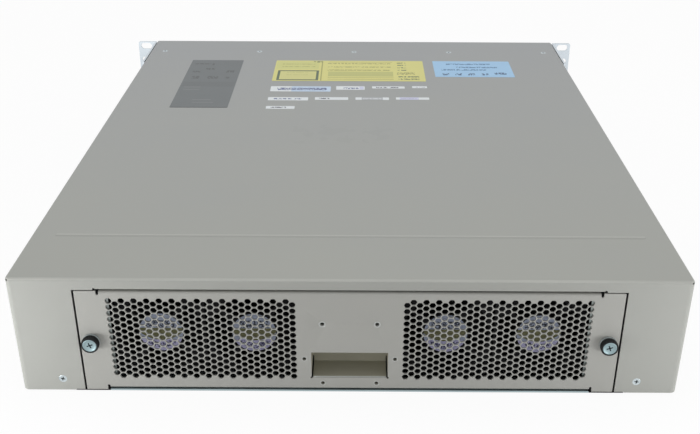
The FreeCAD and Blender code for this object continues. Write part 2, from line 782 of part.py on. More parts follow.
def plugs(z, face):
    """Moulded dust plugs, one to a port, each with a grip."""
    made = []
    gap, half, rise = plug_clearance, plug_grip_width / 2, plug_grip_height / 2
    for u, w in port_places(z):
        sides = rectangle(u + gap, u + port_width - gap, w + gap, w + port_height - gap, port_corner)
        body = extrude(sides, "y", face - plug_depth, face + 1)
        middle, level = u + port_width / 2, w + port_height / 2
        grip = rectangle(middle - half, middle + half, level - rise, level + rise, 1.0)
        made.append(body.fuse(extrude(grip, "y", face, face + plug_grip_length)))
    return made


def console_jacks():
    """A block of two modular jacks for the service ports."""
    x0, x1 = jack_span()
    body = block(x0, x1, front - jack_depth, front, board_top, board_top + jack_height)
    low = board_top + (jack_height - jack_mouth_height) / 2
    y0, half, key = front - jack_mouth_depth, jack_mouth_width / 2, jack_key_width / 2
    mouths = []
    for middle in (x0 + jack_width / 2, x1 - jack_width / 2):
        mouths.append(block(middle - half, middle + half, y0, front + 1, low, low + jack_mouth_height))
        mouths.append(block(middle - key, middle + key, y0, front + 1, low - jack_key_depth, low + 1))
    return body.cut(mouths)


def power_backplane():
    """Upright board behind the supplies, with a socket for each."""
    y1 = front - psu_depth - 3
    low, high = pan_sheet + seat_gap, panel_top - 3
    board = block(bay_wall_x1 + seat_gap, psu_x1, y1 - board_thickness, y1, low, high)
    x0 = psu_x0 + psu_tail_start + psu_socket_inset
    x1 = psu_x0 + psu_tail_start + psu_tail_width - psu_socket_inset
    rise = psu_tail_rise + (psu_tail_height - psu_socket_height) / 2
    sockets = [block(x0, x1, y1 - root, y1 + psu_socket_reach, z + rise, z + rise + psu_socket_height)
               for z in psu_levels.values()]
    return board.fuse(sockets)


def line_card_front():
    """Faceplate with a window for each port, overlapping the panel on all sides."""
    places = port_places(card_board_top)
    return slot_plate(0, [rectangle(u, u + port_width, w, w + port_height, port_corner) for u, w in places])


def slot_plate(slot, windows=()):
    """A slot's faceplate with holes for its captive screws."""
    x0 = slot_starts[slot]
    face = front + slot_plate_gap
    edge = rectangle(x0, x0 + slot_width, slot_plate_bottom, slot_plate_top, slot_plate_corner)
    plate = extrude(edge, "y", face, face + panel_sheet, windows)
    radius = slot_screw_shank_radius + running_clearance
    return plate.cut([rod("y", x, slot_middle, radius, face - 1, face + 3) for x in slot_screw_columns(x0)])


def slot_cover():
    """Blank cover of the spare slot, stiffened by a shallow pan behind it."""
    x0, x1 = (edge + way for edge, way in zip(slot_opening(slot_starts[1]), (1, -1)))
    z0, z1 = slot_plate_bottom + slot_border_z + 1, slot_plate_top - slot_border_z - 1
    wall = slot_cover_wall
    inside = rectangle(x0 + wall, x1 - wall, z0 + wall, z1 - wall, 0.5)
    outside = rectangle(x0, x1, z0, z1, 0.5 + wall)
    return slot_plate(1).fuse(extrude(outside, "y", front - slot_cover_depth, front + 0.4, [inside]))


def captive_screw(x):
    """Small knurl-headed captive screw of a faceplate."""
    plate = front + slot_plate_gap + panel_sheet
    start, end = plate + 0.1, plate + slot_screw_knob_length
    radius, bevel = slot_screw_knob_radius, slot_screw_knob_bevel
    profile = [(0, start), (radius, start), (radius, end - bevel), (radius - bevel, end), (0, end)]
    low, high = slot_middle - slot_screw_slot_width / 2, slot_middle + slot_screw_slot_width / 2
    slot = block(x - radius, x + radius, end - slot_screw_slot_depth, end + 1, low, high)
    tip = plate - panel_sheet - slot_screw_reach
    shank = rod("y", x, slot_middle, slot_screw_shank_radius, tip, start + 1)
    return turned(profile, "y", x, slot_middle).cut(slot).fuse(shank)


def line_card_board():
    """The card's own board, with the connector at its inner end."""
    x0, x1 = slot_opening(slot_starts[0])
    x0, x1 = x0 + card_clearance, x1 - card_clearance
    back = front - card_depth
    board = block(x0, x1, back, front - card_board_setback, card_board_z, card_board_top)
    start, end = x0 + card_plug_place, x0 + card_plug_place + card_plug_width
    low, high = card_board_z + board_thickness / 2, card_board_top + card_plug_height
    return board.fuse(block(start, end, back - card_plug_reach, back + 10, low, high))


# ---- Power supplies --------------------------------------------------------------------------
def psu_case(z0):
    """Sheet sleeve of a supply, closed behind but for its edge connector."""
    y0, y1, wall = front - psu_depth, front - psu_face_setback, psu_sheet
    z1 = z0 + psu_height
    body = block(psu_x0, psu_x1, y0, y1, z0, z1)
    inside = block(psu_x0 + wall, psu_x1 - wall, y0 + wall, y1 + 1, z0 + wall, z1 - wall)
    x, z = psu_x0 + psu_tail_start, z0 + psu_tail_rise
    tail = block(x, x + psu_tail_width, y0 - 1, y0 + 3, z, z + psu_tail_height)
    return body.cut([inside, tail])


def inlet_corner(z0):
    """Lower left corner of the inlet's body."""
    return psu_x1 - inlet_side_margin - inlet_width, z0 + (psu_height - inlet_height) / 2


def psu_front(z0):
    """Front of a supply: inlet cut-out, air holes, lugs, and the fan's housing behind the holes."""
    y0, y1 = front - psu_face_setback, psu_face
    ix, iz = inlet_corner(z0)
    windows = [rectangle(ix - slip, ix + inlet_width + slip, iz - slip, iz + inlet_height + slip)]
    step = psu_vent_pitch * math.sqrt(3) / 2
    start = psu_vent_x - (psu_vent_columns - 1) * step / 2
    low, high = z0 + psu_vent_margin, z0 + psu_height - psu_vent_margin
    windows += honeycomb((start, psu_vent_columns), step, high, low, psu_vent_pitch, psu_vent_across_flats)
    plate = extrude(rectangle(psu_x0, psu_x1, z0, z0 + psu_height, 1.0), "y", y0, y1, windows)
    housing = facing_front(fan_housing(psu_fan), z0)
    return plate.fuse(bail_lugs(z0) + latch_lugs(z0) + [housing])


def facing_front(fan, z0):
    """A fan's piece moved behind a supply's air holes, with its motor plate next to them."""
    turned_round = fan.mirror(Vector(0, 0, 0), Vector(0, 1, 0))
    turned_round.translate(Vector(psu_vent_x, front - psu_face_setback, z0 + psu_height / 2))
    return turned_round


def bail_axis(z0):
    """Where the bail's pivot runs: its Y and Z."""
    return psu_face + bail_standoff, z0 + psu_height - bail_top_margin


def bail_lugs(z0):
    """Two eyes that hold the ends of the bail."""
    y, z = bail_axis(z0)
    x0, back, tip, half = psu_x0 + bail_side_margin, psu_face - 0.3, y + lug_reach, bail_radius + bail_wall
    corners = [(back, z - half, 0), (tip, z - half, 2.0), (tip, z + half, 2.0), (back, z + half, 0)]
    lugs = []
    for x in (x0 - lug_width - lug_gap, x0 + bail_span + lug_gap):
        eye = rod("x", y, z, bail_radius + running_clearance, x - 1, x + lug_width + 1)
        lugs.append(extrude(corners, "x", x, x + lug_width).cut(eye))
    return lugs


def psu_bail(z0):
    """Bent-rod handle that hangs in front of the supply and swings up to be pulled."""
    y, z = bail_axis(z0)
    start, low = psu_x0 + bail_side_margin, z - bail_drop
    end, arm, tight = start + bail_span, bail_arm_inset, bail_radius + 0.4
    places = [(start - lug_width, z), (start + arm, z), (start + arm, low)]
    places += [(end - arm, low), (end - arm, z), (end + lug_width, z)]
    radii = [0.0, tight, bail_corner, bail_corner, tight, 0.0]
    points = [Vector(u, y, w) for u, w in places]
    solids, here = [], points[0]
    for i in range(1, len(points)):
        heading = (points[i] - points[i - 1]).normalize()
        stop = points[i] - heading * radii[i]
        solids.append(Part.makeCylinder(bail_radius, (stop - here).Length, here, heading))
        if radii[i]:
            onward = (points[i + 1] - points[i]).normalize()
            axis = heading.cross(onward)
            section = Part.Face(Part.Wire(Part.makeCircle(bail_radius, stop, heading)))
            solids.append(section.revolve(stop + onward * radii[i], axis, 90))
            here = points[i] + onward * radii[i]
    return solids[0].fuse(solids[1:]).removeSplitter()


def latch_place(z0):
    """Where the latch's pin stands: its X and Y, and the height of its middle."""
    x = psu_x0 + bail_side_margin + bail_span + lug_width + latch_from_lug
    return x, psu_face + latch_standoff, z0 + psu_height / 2


def latch_lugs(z0):
    """Two ears that hold the latch's pin."""
    x, y, z = latch_place(z0)
    half, side = latch_height / 2 + latch_ear_gap, latch_ear
    lugs = []
    for low in (z - half - side, z + half):
        ear = block(x - side, x + side, psu_face - 0.3, y + 2 * latch_pin_radius, low, low + side)
        lugs.append(ear.cut(rod("z", x, y, latch_pin_radius + running_clearance, low - 1, low + side + 1)))
    return lugs


def psu_latch(z0):
    """Coloured thumb lever, with its pin moulded on."""
    x, y, z = latch_place(z0)
    half, rise, tip = latch_width / 2, latch_height / 2, y + latch_length
    side = [(x - half, y - half, 1.0), (x + half, y - half, 1.0), (x + half, tip - 3, 0.8),
            (x + half + latch_hook, tip, 0.8), (x - half, tip, 0.8)]
    reach = rise + latch_ear_gap + latch_ear - 0.2
    pin = rod("z", x, y, latch_pin_radius, z - reach, z + reach)
    return extrude(side, "z", z - rise, z + rise).fuse(pin)


def psu_inlet(z0):
    """Power inlet with its three pins set back in the mouth."""
    x0, z = inlet_corner(z0)
    x1, top = x0 + inlet_width, z + inlet_height
    back, tip = psu_face - inlet_depth, psu_face + inlet_flange
    body = extrude(rectangle(x0, x1, z, top), "y", back, tip)
    rim = rectangle(x0 - inlet_rim, x1 + inlet_rim, z - inlet_rim, top + inlet_rim, 1.5)
    low, high = z + inlet_wall, top - inlet_wall
    left, right, cut = x0 + inlet_wall, x1 - inlet_wall, inlet_corner_cut
    mouth = [(left + cut, low, 0), (right - cut, low, 0), (right, low + cut, 0), (right, high, 0.8),
             (left, high, 0.8), (left, low + cut, 0)]
    cavity = extrude(mouth, "y", back + 1.5, tip + 1)
    x, aside, level = (x0 + x1) / 2, inlet_pin_spacing / 2, z + inlet_pin_height
    pins = [(x - aside, level), (x + aside, level), (x, z + inlet_earth_height)]
    wide, tall = (size / 2 for size in inlet_pin_size)
    end = tip - inlet_pin_setback
    blades = [block(u - wide, u + wide, back + 1, end, w - tall, w + tall) for u, w in pins]
    return body.fuse(extrude(rim, "y", psu_face, tip)).cut(cavity).fuse(blades)


# ---- Fan tray ----------------------------------------------------------------------------------
def fan_tray_face():
    """Perforated face with folded edges, an opening for the pocket, and the accessory holes."""
    top, low = tray_fold_top, tray_fold_bottom
    end_top, end_low, x = tray_end_top, tray_end_bottom, tray_half
    step_x = fold_half + 2 * relief_radius
    y0, y1, depth = rear - 1, tray_inside + 1, rear + tray_flange
    half = [(step_x, low, 0), (step_x, end_low, 0), (x, end_low, 0.5), (x, end_top, 0.5),
            (step_x, end_top, 0), (step_x, top, 0)]
    edge = half + [(-u, v, r) for u, v, r in half[::-1]]
    mouth = rectangle(-pocket_width / 2, pocket_width / 2, pocket_bottom, pocket_top, 0.5)
    face = extrude(edge, "y", rear, tray_inside, tray_vents() + [mouth])
    trim = [block(-step_x, step_x, y0, y1, z - 1, z + 3) for z in (low, top - 2)]
    upper = fold([(depth, top), (rear, top), (rear, top - 3)], tray_sheet, "x", -fold_half, fold_half)
    lower = fold([(rear, low + 3), (rear, low), (depth, low)], tray_sheet, "x", -fold_half, fold_half)
    stub = [block(side, side + 2 * relief_radius, rear, tray_inside, level, level + 3)
            for side in (-step_x, fold_half) for level in (low, top - 3)]
    reliefs = [rod("y", step_x - relief_radius, z, relief_radius, y0, y1) for z in (top, low)]
    places = (pocket_side_hole, pocket_low_hole, upper_hole)
    drilled = [rod("y", u, w, small_hole_radius, y0, y1) for u, w in places]
    sunk = rear + dimple_depth
    cone = [(0, rear - 0.1), (dimple_radius, rear - 0.1), (small_hole_radius, sunk), (0, sunk)]
    seat = rod("y", knob_x, knob_z, ferrule_neck_radius, y0, y1)
    cuts = [c for tool in reliefs + drilled + [turned(cone, "y", *upper_hole), seat] for c in pair(tool)]
    return face.cut(trim).fuse([upper, lower] + stub).cut(cuts)


def tray_vents():
    """The two honeycomb fields, which mirror each other."""
    step = vent_pitch * math.sqrt(3) / 2
    count = int((vent_outer_x - vent_inner_x) / step) + 1
    left = honeycomb((-vent_outer_x, count), step, vent_top, vent_bottom, vent_pitch, vent_across_flats)
    return left + [[(-u, v, r) for u, v, r in hole] for hole in left]


def fan_tray_box():
    """Sheet box behind the face, open to the rear, with a window for each fan and for the plug."""
    low, high, side = tray_fold_bottom + tray_sheet, tray_fold_top - tray_sheet, box_sheet
    y0, y1 = tray_inside + bend_radius + slip, box_wall + side
    body = extrude(rectangle(-box_half, box_half, y0, y1), "z", low, high)
    hollow = block(-box_half + side, box_half - side, y0 - 1, box_wall, low + side, high - side)
    half, rise = plug_width / 2 + slip, plug_height / 2 + slip
    cuts = [hollow, block(-half, half, box_wall - 1, y1 + 1, fan_z - rise, fan_z + rise)]
    reach = tray_fan["size"] / 2 - tray_fan["inset"]
    for x in fan_places:
        cuts.append(rod("y", x, fan_z, fan_size / 2 - fan_box_margin, box_wall - 1, y1 + 1))
        corners = [(x + dx, fan_z + dz) for dx in (-reach, reach) for dz in (-reach, reach)]
        cuts += [rod("y", u, w, tray_fan["hole"], box_wall - 1, y1 + 1) for u, w in corners]
    return body.cut(cuts)


def finger_pocket():
    """Pull pocket folded from one blank: back, floor, sides and ceiling, with screw flanges."""
    sheet, half, back = box_sheet, pocket_width / 2, rear + pocket_depth
    top = pocket_top + pocket_headroom
    floor_half = half - pocket_floor_gap
    turn_up = pocket_bottom + pocket_upturn
    path = [(tray_inside, tray_fold_bottom + tray_sheet + 2), (tray_inside, pocket_bottom),
            (back, pocket_bottom), (back, turn_up)]
    floor = fold(path, -sheet, "x", -floor_half, floor_half)
    plate = block(-half - sheet, half + sheet, back, back + sheet, turn_up, top + sheet)
    ceiling = block(-half, half, tray_inside, back + sheet, top, top + sheet)
    path = [(half + sheet + pocket_flange, tray_inside), (half, tray_inside), (half, back + sheet / 2)]
    side = fold(path, -sheet, "z", pocket_bottom + 2, top + sheet)
    holes = [rod("y", *place, small_hole_radius, tray_inside - 1, tray_inside + 3)
             for place in (pocket_side_hole, pocket_low_hole)]
    return plate.fuse([floor, ceiling] + pair(side)).cut([c for tool in holes for c in pair(tool)])


def fan_housing(fan):
    """Square housing with its motor plate and struts at y = 0, round an axis along Y."""
    half, depth = fan["size"] / 2, fan["depth"]
    bore = half - fan_wall
    flanges = [extrude(rectangle(-half, half, -half, half, fan_corner), "y", a, a + fan["flange"])
               for a in (0, depth - fan["flange"])]
    reach = half - fan["inset"]
    corners = [(dx, dz) for dx in (-reach, reach) for dz in (-reach, reach)]
    holes = [rod("y", dx, dz, fan["hole"], -1, depth + 1) for dx, dz in corners]
    body = rod("y", 0, 0, half, 0, depth).fuse(flanges).cut([rod("y", 0, 0, bore, -1, depth + 1)] + holes)
    bearing = rod("y", 0, 0, fan_bearing_radius, 1, fan_hub_plate + fan["cup"] * 0.6)
    struts = []
    for k in range(fan_strut_count):
        strut = block(0, bore + 0.8, 0, fan_hub_plate, -fan_strut_width / 2, fan_strut_width / 2)
        strut.rotate(Vector(), Vector(0, 1, 0), fan_strut_turn + k * 360 / fan_strut_count)
        struts.append(strut)
    hub = rod("y", 0, 0, fan["hub"], 0, fan_hub_plate)
    shaft_hole = rod("y", 0, 0, fan_shaft_radius + running_clearance, fan_hub_plate / 2, depth)
    return body.fuse([hub, bearing] + struts).cut(shaft_hole).removeSplitter()


def fan_wheel(fan):
    """Cup, shaft and twisted blades that turn in the housing."""
    start = fan_hub_plate + fan_rotor_gap
    end = start + fan["cup"]
    hub, wall = fan["hub"], fan_cup_wall
    cup = [(0, end - wall), (hub - wall, end - wall), (hub - wall, start), (hub, start), (hub, end - wall),
           (hub - wall, end), (0, end)]
    shaft = rod("y", 0, 0, fan_shaft_radius, start, end - wall / 2)
    tip = fan["size"] / 2 - fan_wall - fan_tip_gap
    envelope = ring("y", 0, 0, tip, hub - wall / 2, start, end)
    middle = (start + end) / 2
    blades = []
    for k in range(fan_blade_count):
        root = blade_section(hub / 2, middle, fan["chord"], fan_blade_lean_root)
        crest = blade_section(tip + 1, middle, fan["chord"], fan_blade_lean_tip)
        blade = Part.makeLoft([root, crest], True, True).common(envelope)
        blade.rotate(Vector(), Vector(0, 1, 0), k * 360 / fan_blade_count)
        blades.append(blade)
    return turned(cup, "y", 0, 0).fuse([shaft] + blades)


def blade_section(x, middle, chord, lean):
    """A blade's cut across, flat and leaning away from the fan's axis by an angle in degrees."""
    onward = Vector(0, math.cos(math.radians(lean)), math.sin(math.radians(lean)))
    across = Vector(0, -onward.z, onward.y)
    signs = [(-1, -1), (1, -1), (1, 1), (-1, 1)]
    half, thick = chord / 2, fan_blade_thickness / 2
    corners = [Vector(x, middle, 0) + onward * (a * half) + across * (b * thick) for a, b in signs]
    return Part.makePolygon(corners + corners[:1])


def in_tray(fan, x):
    """A fan's piece moved to its place in the tray."""
    fan.translate(Vector(x, rear + fan_from_face, fan_z))
    return fan


def fan_tray_board():
    """Control board on the box's back wall, with the plug that reaches the chassis's socket."""
    y1 = box_wall - seat_gap
    y0 = y1 - board_thickness
    wide, high = (size / 2 for size in control_board_size)
    board = block(-wide, wide, y0, y1, fan_z - high, fan_z + high)
    size = control_chip_size
    chips = [block(x, x + size, y0 - control_chip_height, y0 + root, fan_z + size / 2, fan_z + 3 * size / 2)
             for x in control_chip_places]
    half, rise = plug_width / 2, plug_height / 2
    base = block(-half, half, y1 - root, box_wall + box_sheet + plug_rim, fan_z - rise, fan_z + rise)
    half, rise = half - plug_tongue_inset, plug_tongue_height / 2
    tongue = block(-half, half, y1, bay_wall_y + pan_sheet + plug_reach, fan_z - rise, fan_z + rise)
    return board.fuse(chips + [base, tongue])


def fan_socket():
    """Socket on the bay wall that takes the tray's plug."""
    y0 = bay_wall_y + pan_sheet
    half, rise = plug_width / 2 + socket_wall, socket_height / 2
    body = block(-half, half, y0, y0 + socket_depth, fan_z - rise, fan_z + rise)
    half, rise = plug_width / 2 - plug_tongue_inset + plug_fit, plug_tongue_height / 2 + plug_fit
    return body.cut(block(-half, half, y0 - 1, y0 + plug_reach + 1, fan_z - rise, fan_z + rise))


def ferrule(x):
    """Retainer pressed into the face, which the thumbscrew runs in."""
    bore = knob_shank_radius + running_clearance
    outer, flange, neck = rear - ferrule_length, rear - ferrule_flange, tray_inside
    body, wide, narrow = ferrule_radius, ferrule_flange_radius, ferrule_neck_radius
    profile = [(bore, outer), (body, outer), (body, flange), (wide, flange), (wide, rear), (narrow, rear),
               (narrow, neck), (bore, neck)]
    return turned(profile, "y", x, knob_z)


def knob_front():
    """Where the front of a thumbscrew's head stands."""
    return rear - ferrule_length - washer_play - washer_thickness - knob_head_length


def thumbscrew(x):
    """Zinc-plated screw: head with a cross recess, and shank."""
    start, end = knob_front(), knob_front() + knob_head_length
    tip = tray_inside + seat_gap + pan_sheet + nut_length + knob_tip_past_nut
    head, shank, bevel = knob_head_radius, knob_shank_radius, knob_tip_bevel
    profile = [(0, start), (head - knob_head_bevel, start), (head, start + knob_head_bevel), (head, end),
               (shank, end), (shank, tip - bevel), (shank - bevel, tip), (0, tip)]
    long, wide = recess_length / 2, recess_width / 2
    recess = [block(x - a, x + a, start - 1, start + recess_depth, knob_z - b, knob_z + b)
              for a, b in ((long, wide), (wide, long))]
    for tool in recess:
        tool.rotate(Vector(x, 0, knob_z), Vector(0, 1, 0), recess_turn)
    return turned(profile, "y", x, knob_z).cut(recess)


def thumbscrew_grip(x):
    """Ribbed black ring pressed on the head."""
    start = knob_front() + knob_grip_setback
    end = start + knob_grip_length
    body = ring("y", x, knob_z, knob_radius, knob_head_radius + running_clearance, start, end)
    reach = knob_radius + grip_groove_rise
    turns = [2 * math.pi * k / grip_ribs for k in range(grip_ribs)]
    places = [(x + reach * math.cos(t), knob_z + reach * math.sin(t)) for t in turns]
    grooves = [rod("y", u, w, grip_groove_radius, start - 1, end + 1) for u, w in places]
    return body.cut(grooves)


def thumbscrew_washer(x):
    """Thrust washer between the ferrule and the screw's head."""
    y, bore = rear - ferrule_length - washer_play, knob_shank_radius + running_clearance
    return ring("y", x, knob_z, washer_radius, bore, y - washer_thickness, y)


# ---- The whole part ---------------------------------------------------------------------------
def pieces():
    """Every piece by the name of its node."""
    made = {
        "base_pan": base_pan(),
        "top_cover": top_cover(),
        "fan_bay_frame": fan_bay_frame(),
        "front_panel": front_panel(),
        "rack_ear_right": rack_ear(),
        "rack_ear_left": mirrored(rack_ear()),
        "psu_bay_wall": psu_bay_wall(),
        "psu_bay_shelf": psu_bay_shelf(),
        "slot_deck": slot_deck(),
        "slot_divider": slot_divider(),
        "card_rails": card_rails(),
        "main_board": main_board(),
        "heat_sinks": heat_sinks(),
        "port_cage": cage(board_top),
        "port_plugs": plugs(board_top, front),
        "console_jacks": console_jacks(),
        "power_backplane": power_backplane(),
        "fan_socket": fan_socket(),
        "cover_screws": [flat_head(*place) for place in screw_places()],
        "ear_screws": [flat_head(*place) for place in ear_screw_places()],
        "fan_tray_face": fan_tray_face(),
        "fan_tray_box": fan_tray_box(),
        "fan_tray_board": fan_tray_board(),
        "finger_pocket": finger_pocket(),
        "line_card_front": line_card_front(),
        "line_card_board": line_card_board(),
        "line_card_cage": cage(card_board_top),
        "line_card_plugs": plugs(card_board_top, front + slot_plate_gap + panel_sheet),
        "slot_cover": slot_cover(),
        "slot_cover_screws": [captive_screw(x) for x in slot_screw_columns(slot_starts[1])],
    }
    for number, x in enumerate(fan_places, 1):
        made[f"fan_{number}_frame"] = in_tray(fan_housing(tray_fan), x)
        made[f"fan_{number}_rotor"] = in_tray(fan_wheel(tray_fan), x)
    for side, x in (("left", -knob_x), ("right", knob_x)):
        made[f"ferrule_{side}"] = ferrule(x)
        made[f"thumbscrew_{side}"] = thumbscrew(x)
        made[f"thumbscrew_{side}_grip"] = thumbscrew_grip(x)
        made[f"thumbscrew_{side}_washer"] = thumbscrew_washer(x)
    for side, x in zip(("left", "right"), slot_screw_columns(slot_starts[0])):
        made[f"line_card_screw_{side}"] = captive_screw(x)
    for name, z0 in psu_levels.items():
        made[f"{name}_case"] = psu_case(z0)
        made[f"{name}_front"] = psu_front(z0)
        made[f"{name}_inlet"] = psu_inlet(z0)
        made[f"{name}_bail"] = psu_bail(z0)
        made[f"{name}_latch"] = psu_latch(z0)
        made[f"{name}_rotor"] = facing_front(fan_wheel(psu_fan), z0)
    return made


def main():
    os.makedirs("parts", exist_ok=True)
    for name, shape in pieces().items():
        solids = [s for item in (shape if isinstance(shape, list) else [shape]) for s in item.Solids]
        whole = solids[0] if len(solids) == 1 else Part.makeCompound(solids)
        whole.exportStep(f"parts/{name}.step")
        box = whole.BoundBox
        spans = ((box.XMin, box.XMax), (box.YMin, box.YMax), (box.ZMin, box.ZMax))
        extents = ", ".join(f"{low:.1f}..{high:.1f}" for low, high in spans)
        volume = sum(s.Volume for s in solids)
        valid = all(s.isValid() for s in solids)
        print(f"{name}: {len(solids)} solid(s), {volume:.0f} mm3, {extents}, valid {valid}")


main()
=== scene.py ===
# %% [markdown]
# # A two-unit modular chassis switch
# This lesson dresses a network switch that was modelled as solids elsewhere. The solids arrive as a
# fixed frame: every node stands where it belongs, in metres, and is painted here but not moved.
# Pieces that need more detail than a solid should carry are modelled here and ride on its bodies.
#
# Azimuth 0 looks at the fan tray. The fans blow out towards -Y and the ports face +Y.

# %% Load the frame
import json
import math

import bmesh
import bpy
from mathutils import Matrix, Vector


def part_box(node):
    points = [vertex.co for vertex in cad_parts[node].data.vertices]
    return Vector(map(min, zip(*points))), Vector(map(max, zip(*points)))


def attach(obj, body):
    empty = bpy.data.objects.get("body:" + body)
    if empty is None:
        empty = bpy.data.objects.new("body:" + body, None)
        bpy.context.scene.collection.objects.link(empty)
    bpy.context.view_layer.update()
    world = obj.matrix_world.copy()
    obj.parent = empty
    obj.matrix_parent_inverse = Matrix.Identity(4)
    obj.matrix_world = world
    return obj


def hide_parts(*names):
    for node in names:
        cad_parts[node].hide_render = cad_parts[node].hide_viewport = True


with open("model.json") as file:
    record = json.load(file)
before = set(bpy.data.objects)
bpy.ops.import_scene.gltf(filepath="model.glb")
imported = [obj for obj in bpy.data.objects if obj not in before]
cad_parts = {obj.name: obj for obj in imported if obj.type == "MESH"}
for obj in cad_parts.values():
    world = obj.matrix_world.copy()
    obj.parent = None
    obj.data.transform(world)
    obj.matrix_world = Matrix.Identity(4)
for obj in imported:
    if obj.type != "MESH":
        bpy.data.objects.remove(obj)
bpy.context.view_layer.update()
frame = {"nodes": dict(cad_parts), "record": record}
nodes = frame["nodes"]
mm = 0.001


# %% [markdown]
# ## Shader maths as plain expressions
# A finish is a small graph of nodes. Wiring it by hand hides the idea, so one class wraps a socket:
# sums, products and comparisons of wires add Math nodes, and `node` adds any other kind. Everything
# is measured in millimetres on the piece itself, so a grain keeps its true size.

# %% The wire class
class Wire:
    """One output in a node tree."""

    def __init__(self, tree, socket=None):
        self.tree, self.socket = tree, socket

    def node(self, kind, settings=None, inputs=None, output=0):
        made = self.tree.nodes.new("ShaderNode" + kind)
        for name, value in (settings or {}).items():
            setattr(made, name, value)
        for name, value in (inputs or {}).items():
            socket = made.inputs[name]
            if isinstance(value, Wire):
                self.tree.links.new(value.socket, socket)
            elif socket.type == "RGBA" and len(value) == 3:
                socket.default_value = (*value, 1)
            else:
                socket.default_value = value
        return Wire(self.tree, made.outputs[output] if made.outputs else None)

    def math(self, operation, *values):
        return self.node("Math", {"operation": operation}, dict(enumerate(values)))

    def __add__(self, other):
        return self.math("ADD", self, other)

    __radd__ = __add__

    def __sub__(self, other):
        return self.math("SUBTRACT", self, other)

    def __rsub__(self, other):
        return self.math("SUBTRACT", other, self)

    def __mul__(self, other):
        return self.math("MULTIPLY", self, other)

    __rmul__ = __mul__

    def __truediv__(self, other):
        return self.math("DIVIDE", self, other)

    def __mod__(self, other):
        return self.math("FLOORED_MODULO", self, other)

    def __lt__(self, other):
        return self.math("LESS_THAN", self, other)

    def __gt__(self, other):
        return self.math("GREATER_THAN", self, other)

    def __abs__(self):
        return self.math("ABSOLUTE", self)

    def mix(self, first, second):
        """A colour between two, by this wire."""
        settings = {"data_type": "RGBA", "clamp_factor": True}
        return self.node("Mix", settings, {0: self, 6: first, 7: second}, 2)


def seen_directly(wire):
    """1 for rays from the camera, off metal and through clear plastic, else 0."""
    rays = wire.node("LightPath").socket.node.outputs
    camera, glossy, through = (Wire(wire.tree, rays[f"Is {kind} Ray"])
                               for kind in ("Camera", "Glossy", "Transmission"))
    return wire.math("MAXIMUM", wire.math("MAXIMUM", camera, glossy), through)


print("shader maths ready")

# %% One way to start a material and to finish it
def start(name):
    """A new material, and its position on the piece in millimetres."""
    material = bpy.data.materials.new(name)
    material.use_nodes = True
    material.node_tree.nodes.clear()
    paper = Wire(material.node_tree)
    place = paper.node("TexCoord", output=3)
    place = paper.node("Mapping", {"vector_type": "POINT"}, {0: place, "Scale": (1 / mm,) * 3})
    return material, place


def xyz(place):
    """The three coordinates of a position, as wires."""
    split = place.node("SeparateXYZ", inputs={0: place})
    return [Wire(place.tree, output) for output in split.socket.node.outputs]


def speckle(place, per_mm, detail=2.0, rough=0.5):
    """Noise between 0 and 1 with a grain of about 1 / per_mm millimetres."""
    inputs = {"Vector": place, "Scale": per_mm, "Detail": detail, "Roughness": rough}
    return place.node("TexNoise", {"noise_dimensions": "3D"}, inputs)


def stretched(place, scale):
    """A position squeezed along its axes, for brushed and drawn grain."""
    return place.node("Mapping", {"vector_type": "POINT"}, {0: place, "Scale": scale})


def bump(height, depth_mm, strength=1.0):
    """A normal from a height wire."""
    inputs = {"Height": height, "Distance": depth_mm * mm, "Strength": strength}
    return height.node("Bump", inputs=inputs)


def finish(material, place, color, roughness, **other):
    """Joins the wires to one Principled shader."""
    inputs = {"Base Color": color, "Roughness": roughness}
    inputs.update((name.replace("_", " "), value) for name, value in other.items())
    shader = place.node("BsdfPrincipled", inputs=inputs)
    place.node("OutputMaterial", inputs={"Surface": shader})
    return material


def within(wire, low, high):
    """1 between two values of a wire, else 0."""
    return (wire > low) * (wire < high)


def blend_tones(wire, first, second):
    """Two close tones of one colour."""
    return wire.mix((*first, 1), (*second, 1))


print("materials can be started")

# %% [markdown]
# ## Floor, light and camera
# Equipment like this is usually shown on white, under one large soft lamp overhead. Two small strip
# lamps stand low beside the fan end, so that the screws there throw short, soft shadows. The world
# adds an even fill. The camera, metal and clear plastic see it as pure white.

# %% World
scene = bpy.context.scene
scene.view_settings.view_transform = "Standard"
fill_level, pure_white = 0.5, (1, 1, 1)

world = bpy.data.worlds.new("studio")
scene.world = world
world.use_nodes = True
world.node_tree.nodes.clear()
sky = Wire(world.node_tree)
fill = sky.node("Background", inputs={"Color": pure_white, "Strength": fill_level})
backdrop = sky.node("Background", inputs={"Color": pure_white})
surface = sky.node("MixShader", inputs={0: seen_directly(sky), 1: fill, 2: backdrop})
sky.node("OutputWorld", inputs={"Surface": surface})
print("world fill:", fill_level)

# %% Lamps
def lamp(name, place, target, size, power):
    """An area lamp with its width and height in metres."""
    light = bpy.data.lights.new(name, "AREA")
    light.shape = "RECTANGLE"
    light.size, light.size_y = size
    light.energy = power
    made = bpy.data.objects.new(name, light)
    made.location = place
    made.rotation_mode = "QUATERNION"
    made.rotation_quaternion = (Vector(target) - Vector(place)).to_track_quat("-Z", "Y")
    scene.collection.objects.link(made)


lamp("overhead", (0.0, -0.1, 2.4), (0.0, 0.0, 0.0), (1.6, 1.6), 20.0)
lamp("left_strip", (-0.37, -0.42, 0.035), (-0.2, -0.25, 0.035), (0.20, 0.06), 0.46)
lamp("right_strip", (0.37, -0.42, 0.035), (0.2, -0.25, 0.035), (0.20, 0.06), 0.32)

